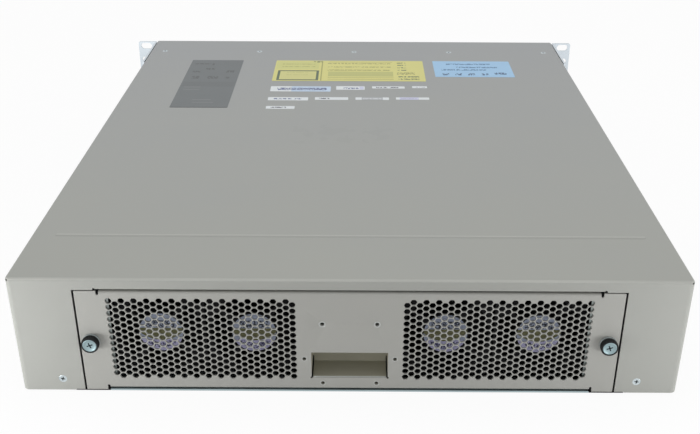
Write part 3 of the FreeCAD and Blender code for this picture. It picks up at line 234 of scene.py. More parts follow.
# %% Camera
elevation, azimuth, roll = (math.radians(a) for a in (25.965, -0.111, 0.250))
level = math.cos(elevation)
ahead = Vector((math.sin(azimuth) * level, math.cos(azimuth) * level, -math.sin(elevation)))
level_right = ahead.cross(Vector((0, 0, 1))).normalized()
level_up = level_right.cross(ahead)
right = level_right * math.cos(roll) + level_up * math.sin(roll)
up = right.cross(ahead)
eye_x, eye_y, eye_z = 0.00485, -0.76792, 0.40108
lens = bpy.data.cameras.new("camera")
lens.lens = 48.592
lens.shift_x, lens.shift_y = -0.0089, -0.0391
camera = bpy.data.objects.new("camera", lens)
camera.matrix_world = Matrix((
    (right.x, up.x, -ahead.x, eye_x),
    (right.y, up.y, -ahead.y, eye_y),
    (right.z, up.z, -ahead.z, eye_z),
    (0, 0, 0, 1),
))
scene.collection.objects.link(camera)
scene.camera = camera
print("camera at", [round(c, 3) for c in camera.location])

# %% [markdown]
# ## Powder coat
# The cover, the tray and the port panel are steel with a fine textured powder coat. The powder
# melts into a skin with tiny bumps, so it is matte and faintly mottled. Two layers of noise do it:
# a broad one shifts the tone by a few percent, and a fine one lifts the surface by hundredths of a
# millimetre. The cover also has a crease across it and a faint stain. Light and shade are painted
# into its coat: lighter towards the near end, darker on the faces that look back, a painted
# highlight and shade along the crease, and a painted highlight along the rear fold.

# %% Powder coat
pocket_heights = (13.0, 24.0)
coat_roughness = 0.62


def coat_noise(place):
    """The broad and the fine noise of a coat."""
    return speckle(place, 0.012, 3.0, 0.55), speckle(place, 1.6, 2.0)


def finish_coat(material, place, color, fine):
    """A coat's sheen and its tiny bumps."""
    rough = fine * 0.12 + (coat_roughness - 0.06)
    return finish(material, place, color, rough, Normal=bump(fine, 0.035, 0.8))


def powder(name, tone, low_tone=None):
    """A textured coat. Given a low tone, it turns to that tone towards the foot of the finger
    pocket.
    """
    material, place = start(name)
    broad, fine = coat_noise(place)
    grime = broad * 0.7 + fine * 0.3
    color = blend_tones(grime, [c * 0.965 for c in tone], [c * 1.035 for c in tone])
    if low_tone:
        foot, head = pocket_heights
        foot_share = (head - xyz(place)[2]) / (head - foot)
        color = foot_share.mix(color, (*low_tone, 1))
    return finish_coat(material, place, color, fine)


cover_paint = powder("cover_powder", (0.372, 0.379, 0.366))
tray_paint = powder("tray_powder", (0.366, 0.366, 0.343))
panel_paint = powder("panel_powder", (0.385, 0.385, 0.372))
# Painted shade: the finger pocket's coat is darker and browner than the tray's. Its low tone makes
# it lighter towards the foot.
pocket_painted_shade = powder("pocket_powder_painted_shade", (0.305, 0.295, 0.225), low_tone=(0.43, 0.415, 0.33))
print("powder coats mixed")

# %% The cover's own coat
near_lit_tone, far_shaded_tone = (0.386, 0.393, 0.364), (0.352, 0.364, 0.369)
rear_face_shade_tone, highlight_tone, black = (0.354, 0.360, 0.336), (0.50, 0.505, 0.47), (0.0, 0.0, 0.0)
cover_depth, wing_face = 510.0, -254.4
stain_x, stain_y, stain_strength = (-52, 36), (-34, 8), 0.03
crease_x, crest_y, crest_highlight_strength = (-203, 203), (-196.9, -194.6), 0.45
hollow_y, hollow_shade_strength = (-198.6, -197.2), 0.08
fold_y, fold_z = -252.9, 86.1

cover_coat, place = start("cover_coat")
x, y, z = xyz(place)
broad, fine = coat_noise(place)
# Painted light: the cover is lighter and warmer at the near end, and darker and cooler towards the
# far end.
lengthwise_light = (y + cover_depth / 2) / cover_depth
color = blend_tones(lengthwise_light + (broad - 0.5) * 0.4, near_lit_tone, far_shaded_tone)
blotches = speckle(place, 0.07, 2.0) > 0.55
across = within(x, *crease_x)
fold_highlight_streaks = speckle(stretched(place, (0.012, 0.0, 0.0)), 1.0, 2.0)
for mask, tone in (
        # Painted shade: the faces that look back, towards -Y, take a darker, warmer tone of the
        # same coat.
        (y < wing_face, rear_face_shade_tone),
        (within(x, *stain_x) * within(y, *stain_y) * blotches * stain_strength, black),
        # Painted highlight and shade along the crease: its far half is painted lighter, its near
        # half darker.
        (within(y, *crest_y) * across * crest_highlight_strength, highlight_tone),
        (within(y, *hollow_y) * across * hollow_shade_strength, black),
        # Painted highlight: a lighter, streaky band along the upper part of the rear fold.
        ((y < fold_y) * (z > fold_z) * fold_highlight_streaks, highlight_tone)):
    color = mask.mix(color, (*tone, 1))
finish_coat(cover_coat, place, color, fine)
print("cover coat mixed")

# %% [markdown]
# ## Plated and plain metal
# Zinc-plated sheet is rolled, so it has long faint lines and cloudy patches where the plating took
# differently. Screws and rods are turned and drawn, which leaves fine lines and a brighter face.

# %% Metals
def plated(name, tone, roughness, along=(0.02, 0.9, 0.9), depth=0.004):
    material, place = start(name)
    cloud = speckle(place, 0.05, 4.0, 0.6)
    lines = speckle(stretched(place, along), 1.0, 2.0)
    color = blend_tones(cloud, [c * 0.88 for c in tone], [min(1, c * 1.1) for c in tone])
    rough = cloud * 0.12 + lines * 0.1 + (roughness - 0.11)
    return finish(material, place, color, rough, Metallic=1.0, Normal=bump(lines, depth, 0.5))


even_grain = (0.8, 0.8, 0.8)
zinc_sheet = plated("zinc_sheet", (0.56, 0.61, 0.65), 0.36)
# Painted shade: parts inside the chassis take a darker zinc than the sheet outside.
inner_zinc_painted_shade = plated("inner_zinc_painted_shade", (0.27, 0.31, 0.33), 0.45)
# Painted shade: the base pan takes a darker zinc, for the shade under the chassis.
pan_zinc_painted_shade = plated("pan_zinc_painted_shade", (0.38, 0.46, 0.48), 0.45)
knob_steel = plated("knob_steel", (0.29, 0.38, 0.40), 0.55, even_grain)
bush_steel = plated("bush_steel", (0.30, 0.33, 0.33), 0.5, even_grain)
zinc_screw = plated("zinc_screw", (0.52, 0.58, 0.60), 0.4, even_grain)
stainless = plated("stainless_rod", (0.72, 0.72, 0.73), 0.2, (0.05, 1.5, 1.5))
cage_metal = plated("cage_metal", (0.60, 0.61, 0.60), 0.32, (0.9, 0.05, 0.9))
aluminium = plated("extruded_aluminium", (0.72, 0.73, 0.74), 0.34, (0.9, 0.03, 0.9))
print("metals mixed")

# %% [markdown]
# ## Moulded plastic and circuit board
# Moulded parts carry the spark-eroded grain of their tool: a fine even bump and a slight sheen.
# A circuit board is glossy lacquer over copper, so its tracks show as faint raised lines on a grid.

# %% Plastics and boards
def moulded(name, tone, roughness=0.5, grain=2.5, depth=0.02, shine=0.5):
    material, place = start(name)
    fine = speckle(place, grain, 2.0)
    broad = speckle(place, 0.08, 2.0)
    color = blend_tones(broad, [c * 0.85 for c in tone], [c * 1.15 for c in tone])
    rough = fine * 0.16 + (roughness - 0.08)
    return finish(material, place, color, rough, Normal=bump(fine, depth, 0.7),
                  Specular_IOR_Level=shine)


track_pitch = 2.54


def board(name, tone):
    material, place = start(name)
    x, y, z = xyz(place)
    bend = speckle(place, 0.15, 1.0) * 3.0
    lines = [abs((way + bend) % track_pitch - track_pitch / 2) < half
             for way, half in ((x, 0.25), (y, 0.2))]
    tracks = lines[0] * 0.5 + lines[1] * 0.5
    color = blend_tones(tracks, tone, [c * 1.5 for c in tone])
    return finish(material, place, color, tracks * 0.1 + 0.28, Normal=bump(tracks, 0.03))


black_plastic = moulded("black_plastic", (0.012, 0.012, 0.013), 0.42)
fan_plastic = moulded("fan_plastic", (0.006, 0.006, 0.007), 0.55, shine=0.12)
knob_rubber = moulded("knob_rubber", (0.007, 0.008, 0.009), 0.5, shine=0.2)
# Painted shade: a dark finish for the walls and floor of the screws' cross recesses.
recess_painted_shade = moulded("recess_painted_shade", (0.035, 0.05, 0.055), 0.6, shine=0.2)
latch_plastic = moulded("latch_plastic", (0.33, 0.03, 0.045), 0.4)
socket_plastic = moulded("socket_plastic", (0.02, 0.02, 0.021), 0.45)
circuit_board = board("circuit_board", (0.012, 0.085, 0.04))
print("plastics mixed")

# %% [markdown]
# ## Painting the solids
# The record names a material slot for every node. The solids keep their shapes and take these
# finishes. The cover, seen close up, takes a coat of its own. The finger pocket, the base pan and
# the parts that lie inside take darker finishes of their own: painted shade.

# %% Paint every node
finishes = {
    "cover_paint": cover_paint, "tray_paint": tray_paint, "panel_paint": panel_paint,
    "zinc_sheet": zinc_sheet, "zinc_screw": zinc_screw, "stainless_rod": stainless,
    "black_plastic": black_plastic, "fan_plastic": fan_plastic, "latch_plastic": latch_plastic,
    "circuit_board": circuit_board, "sink_aluminium": aluminium, "cage_metal": cage_metal,
    "socket_plastic": socket_plastic,
}
for row in frame["record"]["subparts"]:
    solid = nodes[row["node"]]
    solid.data.materials.clear()
    solid.data.materials.append(finishes[row["material_slot"]])
special = {"top_cover": cover_coat, "finger_pocket": pocket_painted_shade, "base_pan": pan_zinc_painted_shade}
for name in ("fan_bay_frame", "fan_tray_box", "slot_deck", "slot_divider", "psu_bay_wall",
             "psu_bay_shelf"):
    special[name] = inner_zinc_painted_shade
for name, material in special.items():
    nodes[name].data.materials[0] = material

# %% [markdown]
# ## Small helpers for modelling
# Each piece is a bmesh that grows from a circle, a grid or a few vertices. When it is done it
# becomes an object at the origin, with its place in its mesh, and rides on its body.

# %% From bmesh to piece
def piece(name, form, body, material, replaces=(), smooth=35.0):
    """Closes a bmesh as a piece that rides on a body."""
    mesh = bpy.data.meshes.new(name)
    open_edges = sum(not edge.is_manifold for edge in form.edges)
    form.to_mesh(mesh)
    form.free()
    for polygon in mesh.polygons:
        polygon.use_smooth = True
    mesh.set_sharp_from_angle(angle=math.radians(smooth))
    made = bpy.data.objects.new(name, mesh)
    for one in material if isinstance(material, list) else [material]:
        mesh.materials.append(one)
    scene.collection.objects.link(made)
    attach(made, body)
    if replaces:
        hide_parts(*replaces)
    print(f"{name}: {len(mesh.polygons)} faces, {open_edges} open edges, on {body}")
    return made


def shift(form, verts, x=0.0, y=0.0, z=0.0):
    """Moves vertices, in millimetres."""
    bmesh.ops.translate(form, verts=verts, vec=Vector((x, y, z)) * mm)


def at(x, y, z):
    """A matrix that moves something to a place in millimetres."""
    return Matrix.Translation(Vector((x, y, z)) * mm)


def verts_of(geom):
    """The vertices among what an operator made."""
    return [g for g in geom if isinstance(g, bmesh.types.BMVert)]


def face_out(form):
    """Makes every face look outwards."""
    bmesh.ops.recalc_face_normals(form, faces=form.faces)


def fill_in(form, edges, normal=(0, 0, 0)):
    """Plain sheet inside closed rims, round any rims within them."""
    return bmesh.ops.triangle_fill(form, use_beauty=True, use_dissolve=False, edges=edges,
                                   normal=normal)["geom"]


def thicken(form, x=0.0, y=0.0, z=0.0):
    """Pulls a whole skin into a closed sheet, by an offset in millimetres."""
    skin = form.faces[:]
    made = bmesh.ops.extrude_face_region(form, geom=skin, use_keep_orig=True)["geom"]
    shift(form, verts_of(made), x, y, z)
    face_out(form)


def bevel(form, geom, offset, segments=1, affect="EDGES"):
    """Softens edges or corners by an offset in millimetres."""
    bmesh.ops.bevel(form, geom=geom, affect=affect, offset=offset * mm, segments=segments,
                    profile=0.5, material=-1)


def facing(axis):
    """Turns something made in the XY plane so that its front faces along an axis."""
    quarter = math.pi / 2
    angle, about = {"-y": (quarter, "X"), "+x": (quarter, "Y"), "-x": (-quarter, "Y"),
                    "+z": (0.0, "X")}[axis]
    return Matrix.Rotation(angle, 4, about)


print("modelling helpers ready")

# %% [markdown]
# ## The perforated tray face
# The real face is one sheet: about 780 six-sided holes are punched in two fields, then its long
# edges are folded back over a form, with a small relief at each end of the fold so that the sheet
# doesn't tear. Holes this many would be slow to cut one by one. So one cell of the pattern is
# modelled, a six-sided ring round a six-sided hole with softened corners. Copies of it stand edge
# to edge, and merging their shared corners makes the two fields. The plain sheet between the
# fields and the outline is filled with triangles, and the whole skin is pulled to its thickness.

# %% Sizes of the face
tray_low, tray_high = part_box("fan_tray_face")
face_y = tray_low.y / mm
face_sheet = 1.2
hole_pitch, hole_flats, hole_corner = 4.70, 4.02, 0.45
column_step = hole_pitch * math.sqrt(3) / 2
columns, rows = 30, 13
outer_column, lowest_row = 155.1, 14.45
fold_half, fold_low, fold_high = 160.8, 2.1, 77.9
fold_radius, fold_depth = 1.8, 9.0
relief_width = 1.8
outer_corner, mouth_corner, mouth_relief, screw_hole = 0.5, 0.5, 0.85, 3.0
rolled_edge, merge_distance, flat_within = 0.14, 0.02, 0.01
line_within, strip_area = 0.05, 100.0
end_low, end_high, face_half = tray_low.z / mm, tray_high.z / mm, tray_high.x / mm
print("face", round(2 * face_half, 1), "mm wide; columns", columns, "x", rows, "rows a side")


# %% One cell of the pattern, then all of them
def lay_copies(form, places):
    """Repeats everything made so far at each place, in millimetres, and drops the first."""
    first = form.verts[:] + form.edges[:] + form.faces[:]
    for x, y in places:
        copy = bmesh.ops.duplicate(form, geom=first)["geom"]
        shift(form, verts_of(copy), x, y)
    bmesh.ops.delete(form, geom=verts_of(first), context="VERTS")
    bmesh.ops.remove_doubles(form, verts=form.verts, dist=merge_distance * mm)


def lay_fields():
    """The two honeycomb fields as one skin in the XY plane. Seams mark the edges of the holes."""
    form = bmesh.new()
    cell_radius = hole_pitch / math.sqrt(3)
    bmesh.ops.create_circle(form, cap_ends=True, segments=6, radius=cell_radius * mm)
    bmesh.ops.rotate(form, verts=form.verts, matrix=Matrix.Rotation(math.radians(30), 3, "Z"))
    hole = form.faces[:]
    bmesh.ops.inset_individual(form, faces=hole, thickness=(hole_pitch - hole_flats) / 2 * mm)
    corners = list(hole[0].verts)
    bevel(form, corners, hole_corner, affect="VERTICES")
    middle = min(form.faces, key=lambda f: f.calc_center_median().length)
    for edge in middle.edges:
        edge.seam = True
    bmesh.ops.delete(form, geom=[middle], context="FACES_ONLY")
    lay_copies(form, [(0, row * hole_pitch) for row in range(rows)])
    lay_copies(form, [(side * (outer_column - column * column_step),
                       lowest_row - hole_pitch / 2 * (column % 2))
                      for side in (-1, 1) for column in range(columns)])
    return form


form = lay_fields()
print("cells laid:", len(form.faces), "faces round", 2 * columns * rows, "holes")

# %% Outlines in the plane of the sheet
def arc(x, y, radius, start, end, steps=6):
    """Points on part of a circle, in millimetres, with angles in degrees."""
    turns = [math.radians(start + (end - start) * k / steps) for k in range(steps + 1)]
    return [(x + radius * math.cos(t), y + radius * math.sin(t)) for t in turns]


def round_box(x0, x1, y0, y1, radius, steps=4):
    """A rectangle with rounded corners, counterclockwise."""
    centres = ((x1 - radius, y1 - radius), (x0 + radius, y1 - radius),
               (x0 + radius, y0 + radius), (x1 - radius, y0 + radius))
    return [point for k, (x, y) in enumerate(centres)
            for point in arc(x, y, radius, 90 * k, 90 * k + 90, steps)]


def circle(x, y, radius, steps=24):
    """A closed circle of points."""
    return arc(x, y, radius, 0, 360 - 360 / steps, steps - 1)


def add_loop(form, corners, height=0.0):
    """A closed run of edges through corners in millimetres."""
    verts = [form.verts.new((x * mm, y * mm, height * mm)) for x, y in corners]
    return [form.edges.new(pair) for pair in zip(verts, verts[1:] + verts[:1])]


print("outline helpers ready")

# %% The plain sheet round the fields
step_x = fold_half + relief_width
fold_top, fold_bottom = fold_high - fold_radius, fold_low + fold_radius
notch = relief_width / 2
corner_x = face_half - outer_corner
right_end = (
    [(fold_half, fold_top)] + arc(fold_half + notch, fold_top, notch, 180, 360)[1:]
    + [(step_x, end_high)] + arc(corner_x, end_high - outer_corner, outer_corner, 90, 0, 3)
    + arc(corner_x, end_low + outer_corner, outer_corner, 0, -90, 3) + [(step_x, end_low)]
    + arc(fold_half + notch, fold_bottom, notch, 0, 180))
edge_loop = right_end + [(-x, y) for x, y in reversed(right_end)]

pocket = (-25.4, 25.4, 11.4, 31.7)
small_holes = [(side * x, z) for x, z in ((30.0, 26.5), (17.9, 7.0)) for side in (-1, 1)]
dimples = [(-17.9, 53.9), (17.9, 53.9)]
hole_radius, dimple_radius, dimple_depth = 1.3, 2.6, 0.7
seats = [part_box("ferrule_" + side) for side in ("left", "right")]
screw_seats = [((low.x + high.x) / 2 / mm, low.y / mm, (low.z + high.z) / 2 / mm)
               for low, high in seats]

lattice_rim = [edge for edge in form.edges if edge.is_boundary and not edge.seam]
x0, x1, y0, y1 = pocket
mouth = (arc(x1 - mouth_corner, y1 - mouth_corner, mouth_corner, 0, 90, 3)
         + arc(x0 + mouth_corner, y1 - mouth_corner, mouth_corner, 90, 180, 3)
         + arc(x0, y0, mouth_relief, 90, 360, 9) + arc(x1, y0, mouth_relief, 180, 450, 9))
loops = add_loop(form, edge_loop) + add_loop(form, mouth)
for x, z in small_holes:
    loops += add_loop(form, circle(x, z, hole_radius))
for x, _, z in screw_seats:
    loops += add_loop(form, circle(x, z, screw_hole))
dimple_rims = [add_loop(form, circle(x, z, dimple_radius)) for x, z in dimples]
flat = lattice_rim + loops + [edge for rim in dimple_rims for edge in rim]
filled = fill_in(form, flat, (0, 0, 1))
print("plain sheet:", sum(isinstance(g, bmesh.types.BMFace) for g in filled), "triangles")

# %% Pressed dimples round two of the small holes
for rim, (x, z) in zip(dimple_rims, dimples):
    inner = verts_of(bmesh.ops.extrude_edge_only(form, edges=rim)["geom"])
    bmesh.ops.scale(form, verts=inner, vec=(hole_radius / dimple_radius,) * 2 + (1,),
                    space=at(x, z, 0).inverted())
    shift(form, inner, z=-dimple_depth)
face_out(form)
if sum(face.normal.z * face.calc_area() for face in form.faces) < 0:
    bmesh.ops.reverse_faces(form, faces=form.faces)
print("skin:", len(form.faces), "faces, one side")

# %% Thickness, and the punch's rolled-in edge round each hole
thicken(form, z=-face_sheet)
rolled = [edge for edge in form.edges
          if edge.seam and all(abs(v.co.z) < flat_within * mm for v in edge.verts)]
bevel(form, rolled, rolled_edge)
print("sheet:", len(form.faces), "faces, closed:", all(edge.is_manifold for edge in form.edges))

# %% The two folded edges
for line, way in ((fold_top, 1), (fold_bottom, -1)):
    strip = [face for face in form.faces
             if abs(face.calc_center_median().y - line * mm) < line_within * mm
             and face.normal.y * way > 0.99 and face.calc_area() > strip_area * mm * mm]
    bent = bmesh.ops.spin(form, geom=strip, cent=Vector((0, line, -fold_radius)) * mm,
                          axis=(1, 0, 0), angle=math.radians(-90 * way), steps=5,
                          use_duplicate=False)["geom_last"]
    end = [g for g in bent if isinstance(g, bmesh.types.BMFace)]
    pulled = bmesh.ops.extrude_face_region(form, geom=end)["geom"]
    inner_faces = [face for face in strip + end if face.is_valid]
    bmesh.ops.delete(form, geom=inner_faces, context="FACES_ONLY")
    shift(form, verts_of(pulled), z=fold_radius - fold_depth)
face_out(form)
bmesh.ops.transform(form, verts=form.verts, matrix=at(0, face_y, 0) @ facing("-y"))
print("folded; closed:", all(edge.is_manifold for edge in form.edges))
piece("perforated_face", form, "fan_tray", tray_paint, ["fan_tray_face"], smooth=32)

# %% [markdown]
# ## Screws with a cross recess
# A small screw is turned or headed, then a punch presses a tapered cross into it. The cross catches
# the light on one wall and stays dark on the other, which is what makes a screw read as a screw.
# A head starts as a flat ring filled between its rim and the cross. The rim is pulled outwards and
# down along the turned profile, and the cross is pulled inwards and closed.

# %% Turned shapes with a cross
def pull(form, rim, factor, depth):
    """Copies a closed rim, scaled about the axis and moved along it. Returns the new rim."""
    made = bmesh.ops.extrude_edge_only(form, edges=rim)["geom"]
    verts = set(verts_of(made))
    bmesh.ops.scale(form, verts=list(verts), vec=(factor, factor, 1))
    shift(form, list(verts), z=depth)
    return list({edge for vert in verts for edge in vert.link_edges
                 if edge.other_vert(vert) in verts})


def turn_rim(form, rim, steps):
    """Pulls a rim through (radius, height) pairs, of which the first is where it is now."""
    for (radius, height), (wider, lower) in zip(steps, steps[1:]):
        rim = pull(form, rim, wider / radius, lower - height)
    return rim


def close_rim(form, rim):
    """A flat cap."""
    fill_in(form, rim)


wall_share, wall_taper, floor_taper = 0.55, 0.88, 0.5
first_turn, next_turn = 19, 137


def cross_head(steps, length, width, depth, around=36):
    """A screw that faces +Z, turned along its steps, with a tapered cross in its face."""
    form = bmesh.new()
    arm, half = length / 2, width / 2
    corners = [
        (half, arm), (half, half), (arm, half), (arm, -half), (half, -half), (half, -arm),
        (-half, -arm), (-half, -half), (-arm, -half), (-arm, half), (-half, half), (-half, arm)]
    rim = add_loop(form, circle(0, 0, steps[0][0], around), steps[0][1])
    cross = add_loop(form, corners, steps[0][1])
    fill_in(form, rim + cross)
    close_rim(form, turn_rim(form, rim, steps))
    outside = set(form.faces)
    walls = pull(form, cross, wall_taper, -depth * wall_share)
    close_rim(form, pull(form, walls, floor_taper, -depth * (1 - wall_share)))
    # The recess takes the second, dark finish: painted shade.
    for face in set(form.faces) - outside:
        face.material_index = 1
    face_out(form)
    return form


def lay_turned(form, spots):
    """Repeats a screw at each (place, axis), each turned further, and drops the first."""
    first = form.verts[:] + form.edges[:] + form.faces[:]
    for k, (place, axis) in enumerate(spots):
        copy = bmesh.ops.duplicate(form, geom=first)["geom"]
        turned = Matrix.Rotation(math.radians(first_turn + next_turn * k), 4, "Z")
        seat = at(*place) @ facing(axis) @ turned
        bmesh.ops.transform(form, verts=verts_of(copy), matrix=seat)
    bmesh.ops.delete(form, geom=verts_of(first), context="VERTS")
    return form


print("screws can be turned")

# %% Flat-head screws of the cover and the ears
flat_steps = [(2.45, -0.03), (2.62, 0.0), (2.78, -0.1), (1.45, -1.35)]
cover_low, cover_high = (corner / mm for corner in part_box("top_cover"))
wing_y, side_x, top_z = cover_low.y, cover_high.x, 87.0
screw_pitch, screw_line, wing_spot, side_pitch, side_z = 102.4, 218.0, (192.0, 9.3), 160.0, 20.0
ear_heights, ear_backs = (14.0, 73.0), (20.0, 56.0)
small_shank, small_cross = 1.45, (2.9, 0.75, 1.0)
cover_spots = [((k * screw_pitch, screw_line, top_z), "+z") for k in (-2, -1, 0, 1, 2)]
for side, axis in ((-1, "-x"), (1, "+x")):
    cover_spots.append(((side * wing_spot[0], wing_y, wing_spot[1]), "-y"))
    cover_spots += [((side * side_x, k * side_pitch, side_z), axis) for k in (-1, 0, 1)]
ear_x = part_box("ear_screws")[1].x / mm
ear_spots = [((side * ear_x, cover_high.y - back, z), axis)
             for side, axis in ((-1, "-x"), (1, "+x")) for z in ear_heights for back in ear_backs]
for name, spots, reach in (("cover_screws", cover_spots, 3.6), ("ear_screws", ear_spots, 5.0)):
    form = cross_head(flat_steps + [(small_shank, -reach)], *small_cross)
    piece(name[:-1] + "_heads", lay_turned(form, spots), "chassis", [zinc_screw, recess_painted_shade],
          [name])

# %% [markdown]
# ## Captive thumbscrews
# Each has three parts. The screw is turned from steel: a dished head with a raised rim and a cross,
# then a shank whose thread begins beyond the tray. A black knurled ring is pressed on it for the
# fingers. Behind stands the retainer, a flanged bush pressed into the sheet. Rings along the shank
# stand for the thread, since a coil of this pitch is too fine to tell from them.

# %% Thumbscrews
thread_pitch, thread_depth, thread_start = 0.5, 0.22, 6.2
shank_radius, tip_radius, tip_length = 1.5, 0.9, 0.7
head_steps = [(3.3, -0.5), (3.95, -0.12), (4.15, 0.0), (4.35, -0.05), (4.6, -0.3), (4.6, -3.8),
              (shank_radius, -3.8), (shank_radius, -thread_start)]
big_cross, head_around = (4.2, 0.85, 1.3), 40
ring_forward, ring_grown, ring_bore, ring_ribs, rib_depth = 0.35, 0.2, 4.6, 32, 0.2
ring_bevel = 0.22


def knurled_ring(outer, inner, length, ribs, groove):
    """A ring that faces +Z with ribs along its outside."""
    form = bmesh.new()
    bmesh.ops.create_circle(form, segments=4 * ribs, radius=inner * mm)
    rim = pull(form, form.edges[:], outer / inner, 0.0)
    around = sorted({v for e in rim for v in e.verts}, key=lambda v: math.atan2(v.co.y, v.co.x))
    valleys = [vert for k, vert in enumerate(around) if k % 4 > 1]
    bmesh.ops.scale(form, verts=valleys, vec=(1 - groove / outer,) * 2 + (1,))
    thicken(form, z=-length)
    ends = [edge for edge in form.edges if edge.is_manifold
            and edge.verts[0].co.xy.length > (inner + 0.1) * mm
            and abs(edge.verts[0].co.z - edge.verts[1].co.z) < 1e-7
            and edge.calc_face_angle() > 1]
    bevel(form, ends, ring_bevel, 2)
    return form


for side in ("left", "right"):
    low, high = (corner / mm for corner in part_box("thumbscrew_" + side))
    middle = (low + high) / 2
    reach = high.y - low.y
    steps = list(head_steps)
    for k in range(int((reach - tip_length - thread_start) / thread_pitch)):
        crest = -thread_start - k * thread_pitch
        steps += [(shank_radius - thread_depth, crest - thread_pitch / 2),
                  (shank_radius, crest - thread_pitch)]
    steps += [(tip_radius, -reach)]
    form = cross_head(steps, *big_cross, head_around)
    lay_turned(form, [((middle.x, low.y, middle.z), "-y")])
    piece("knob_" + side, form, "thumbscrew_" + side, [knob_steel, recess_painted_shade],
          ["thumbscrew_" + side], 40)
    low, high = (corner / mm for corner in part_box(f"thumbscrew_{side}_grip"))
    form = knurled_ring((high.x - low.x) / 2 + ring_grown, ring_bore,
                        high.y - low.y + ring_forward, ring_ribs, rib_depth)
    lay_turned(form, [((middle.x, low.y - ring_forward, middle.z), "-y")])
    piece("knob_ring_" + side, form, "thumbscrew_" + side, knob_rubber,
          [f"thumbscrew_{side}_grip"], 40)

# %% Retainers pressed into the tray face
def turn_ring(form, steps, around):
    """Adds a ring about Z through (radius, height) pairs that come back to the first."""
    rim = add_loop(form, circle(0, 0, steps[0][0], around), steps[0][1])
    turn_rim(form, rim, steps + steps[:1])


def close_seams(form):
    """Joins rims that met again, and turns every face outwards."""
    bmesh.ops.remove_doubles(form, verts=form.verts, dist=0.001 * mm)
    face_out(form)


bush_steps = [(1.55, -2.8), (1.55, -0.15), (1.7, 0.0), (3.85, 0.0), (4.1, -0.2), (4.1, -0.4),
              (5.45, -0.4), (5.7, -0.65), (5.7, -1.6), (3.0, -1.6), (3.0, -2.8)]
for side, seat in zip(("left", "right"), screw_seats):
    form = bmesh.new()
    turn_ring(form, bush_steps, 48)
    close_seams(form)
    lay_turned(form, [(seat, "-y")])
    piece("retainer_" + side, form, "fan_tray", bush_steel, ["ferrule_" + side], 40)

# %% [markdown]
# ## Labels
# Labels are die-cut from printed film about a tenth of a millimetre thick, with rounded corners,
# and stuck on. What is printed is kept plain here: fields of colour, frames, and rows of small bars
# where the lines of print would be. The fields are masks worked out from the place on the label, so
# they stay sharp at any size and move with the piece.

# %% Printing with masks
frame_x, frame_y, ink_level = 2.6, 2.5, 0.46


def printed(name, tone, marks, roughness=0.42, dash=0.55):
    """Film with marks. A mark is (x0, x1, y0, y1, colour, "field", "frame" or "dashes")."""
    material, place = start(name)
    x, y = xyz(place)[:2]
    cloud = speckle(place, 0.06, 3.0)
    letters = speckle(stretched(place, (dash, 0.31, 0.0)), 1.0, 1.0)
    color = blend_tones(cloud, [c * 0.95 for c in tone], [min(1.0, c * 1.04) for c in tone])
    for x0, x1, y0, y1, ink, kind in marks:
        mask = within(x, x0, x1) * within(y, y0, y1)
        if kind == "dashes":
            mask = mask * (letters > ink_level)
        if kind == "frame":
            mask = mask - (within(x, x0 + frame_x, x1 - frame_x)
                           * within(y, y0 + frame_y, y1 - frame_y))
        color = mask.mix(color, (*ink, 1))
    fine = speckle(place, 1.2, 2.0)
    rough = fine * 0.1 + (roughness - 0.05)
    return finish(material, place, color, rough, Normal=bump(fine, 0.01, 0.5))


def rows_of(x0, x1, tops, height, ink, kind="dashes"):
    """The same mark on several lines."""
    return [(x0, x1, top - height, top, ink, kind) for top in tops]


def film(name, x0, x1, y0, y1, material, corner=1.0, thick=0.12):
    """A sheet of film on the cover."""
    form = bmesh.new()
    fill_in(form, add_loop(form, round_box(x0, x1, y0, y1, corner), top_z))
    thicken(form, z=thick)
    return piece(name, form, "chassis", material, smooth=20)


print("labels can be printed")

# %% The three large labels
grey_film, yellow_film, blue_film = (0.160, 0.174, 0.179), (0.67, 0.64, 0.205), (0.33, 0.56, 0.80)
faint, pale_line, shade = (0.105, 0.112, 0.114), (0.225, 0.235, 0.235), (0.148, 0.16, 0.165)
grey_marks = [
    (-168, -117.5, 105, 119, shade, "field"), (-165.6, -148.8, 173, 176, faint, "dashes"),
    (-147, -145, 170, 176, faint, "field"), (-152, -142.4, 155, 161, faint, "dashes"),
    (-130, -121.9, 147, 154, faint, "dashes"), (-164, -156, 147, 152, faint, "dashes"),
    (-162, -155, 128, 136, faint, "dashes"), (-146.5, -135.7, 128, 136, faint, "dashes"),
    (-129, -124, 129, 134, faint, "dashes"), (-165, -149, 103, 104.4, pale_line, "field"),
    (-165, -149, 96, 97.2, pale_line, "field"), (-151.7, -134, 68, 69.2, pale_line, "field"),
    # The last mark, a dark line along the label's near edge, is a painted shadow under the film's
    # edge.
    (-151, -131, 61, 62.2, pale_line, "field"), (-169.6, -116, 48, 49.6, faint, "field")]
grey_paint = printed("grey_label_film", grey_film, grey_marks, roughness=0.6)
film("grey_label", -169.6, -116, 48, 187, grey_paint)

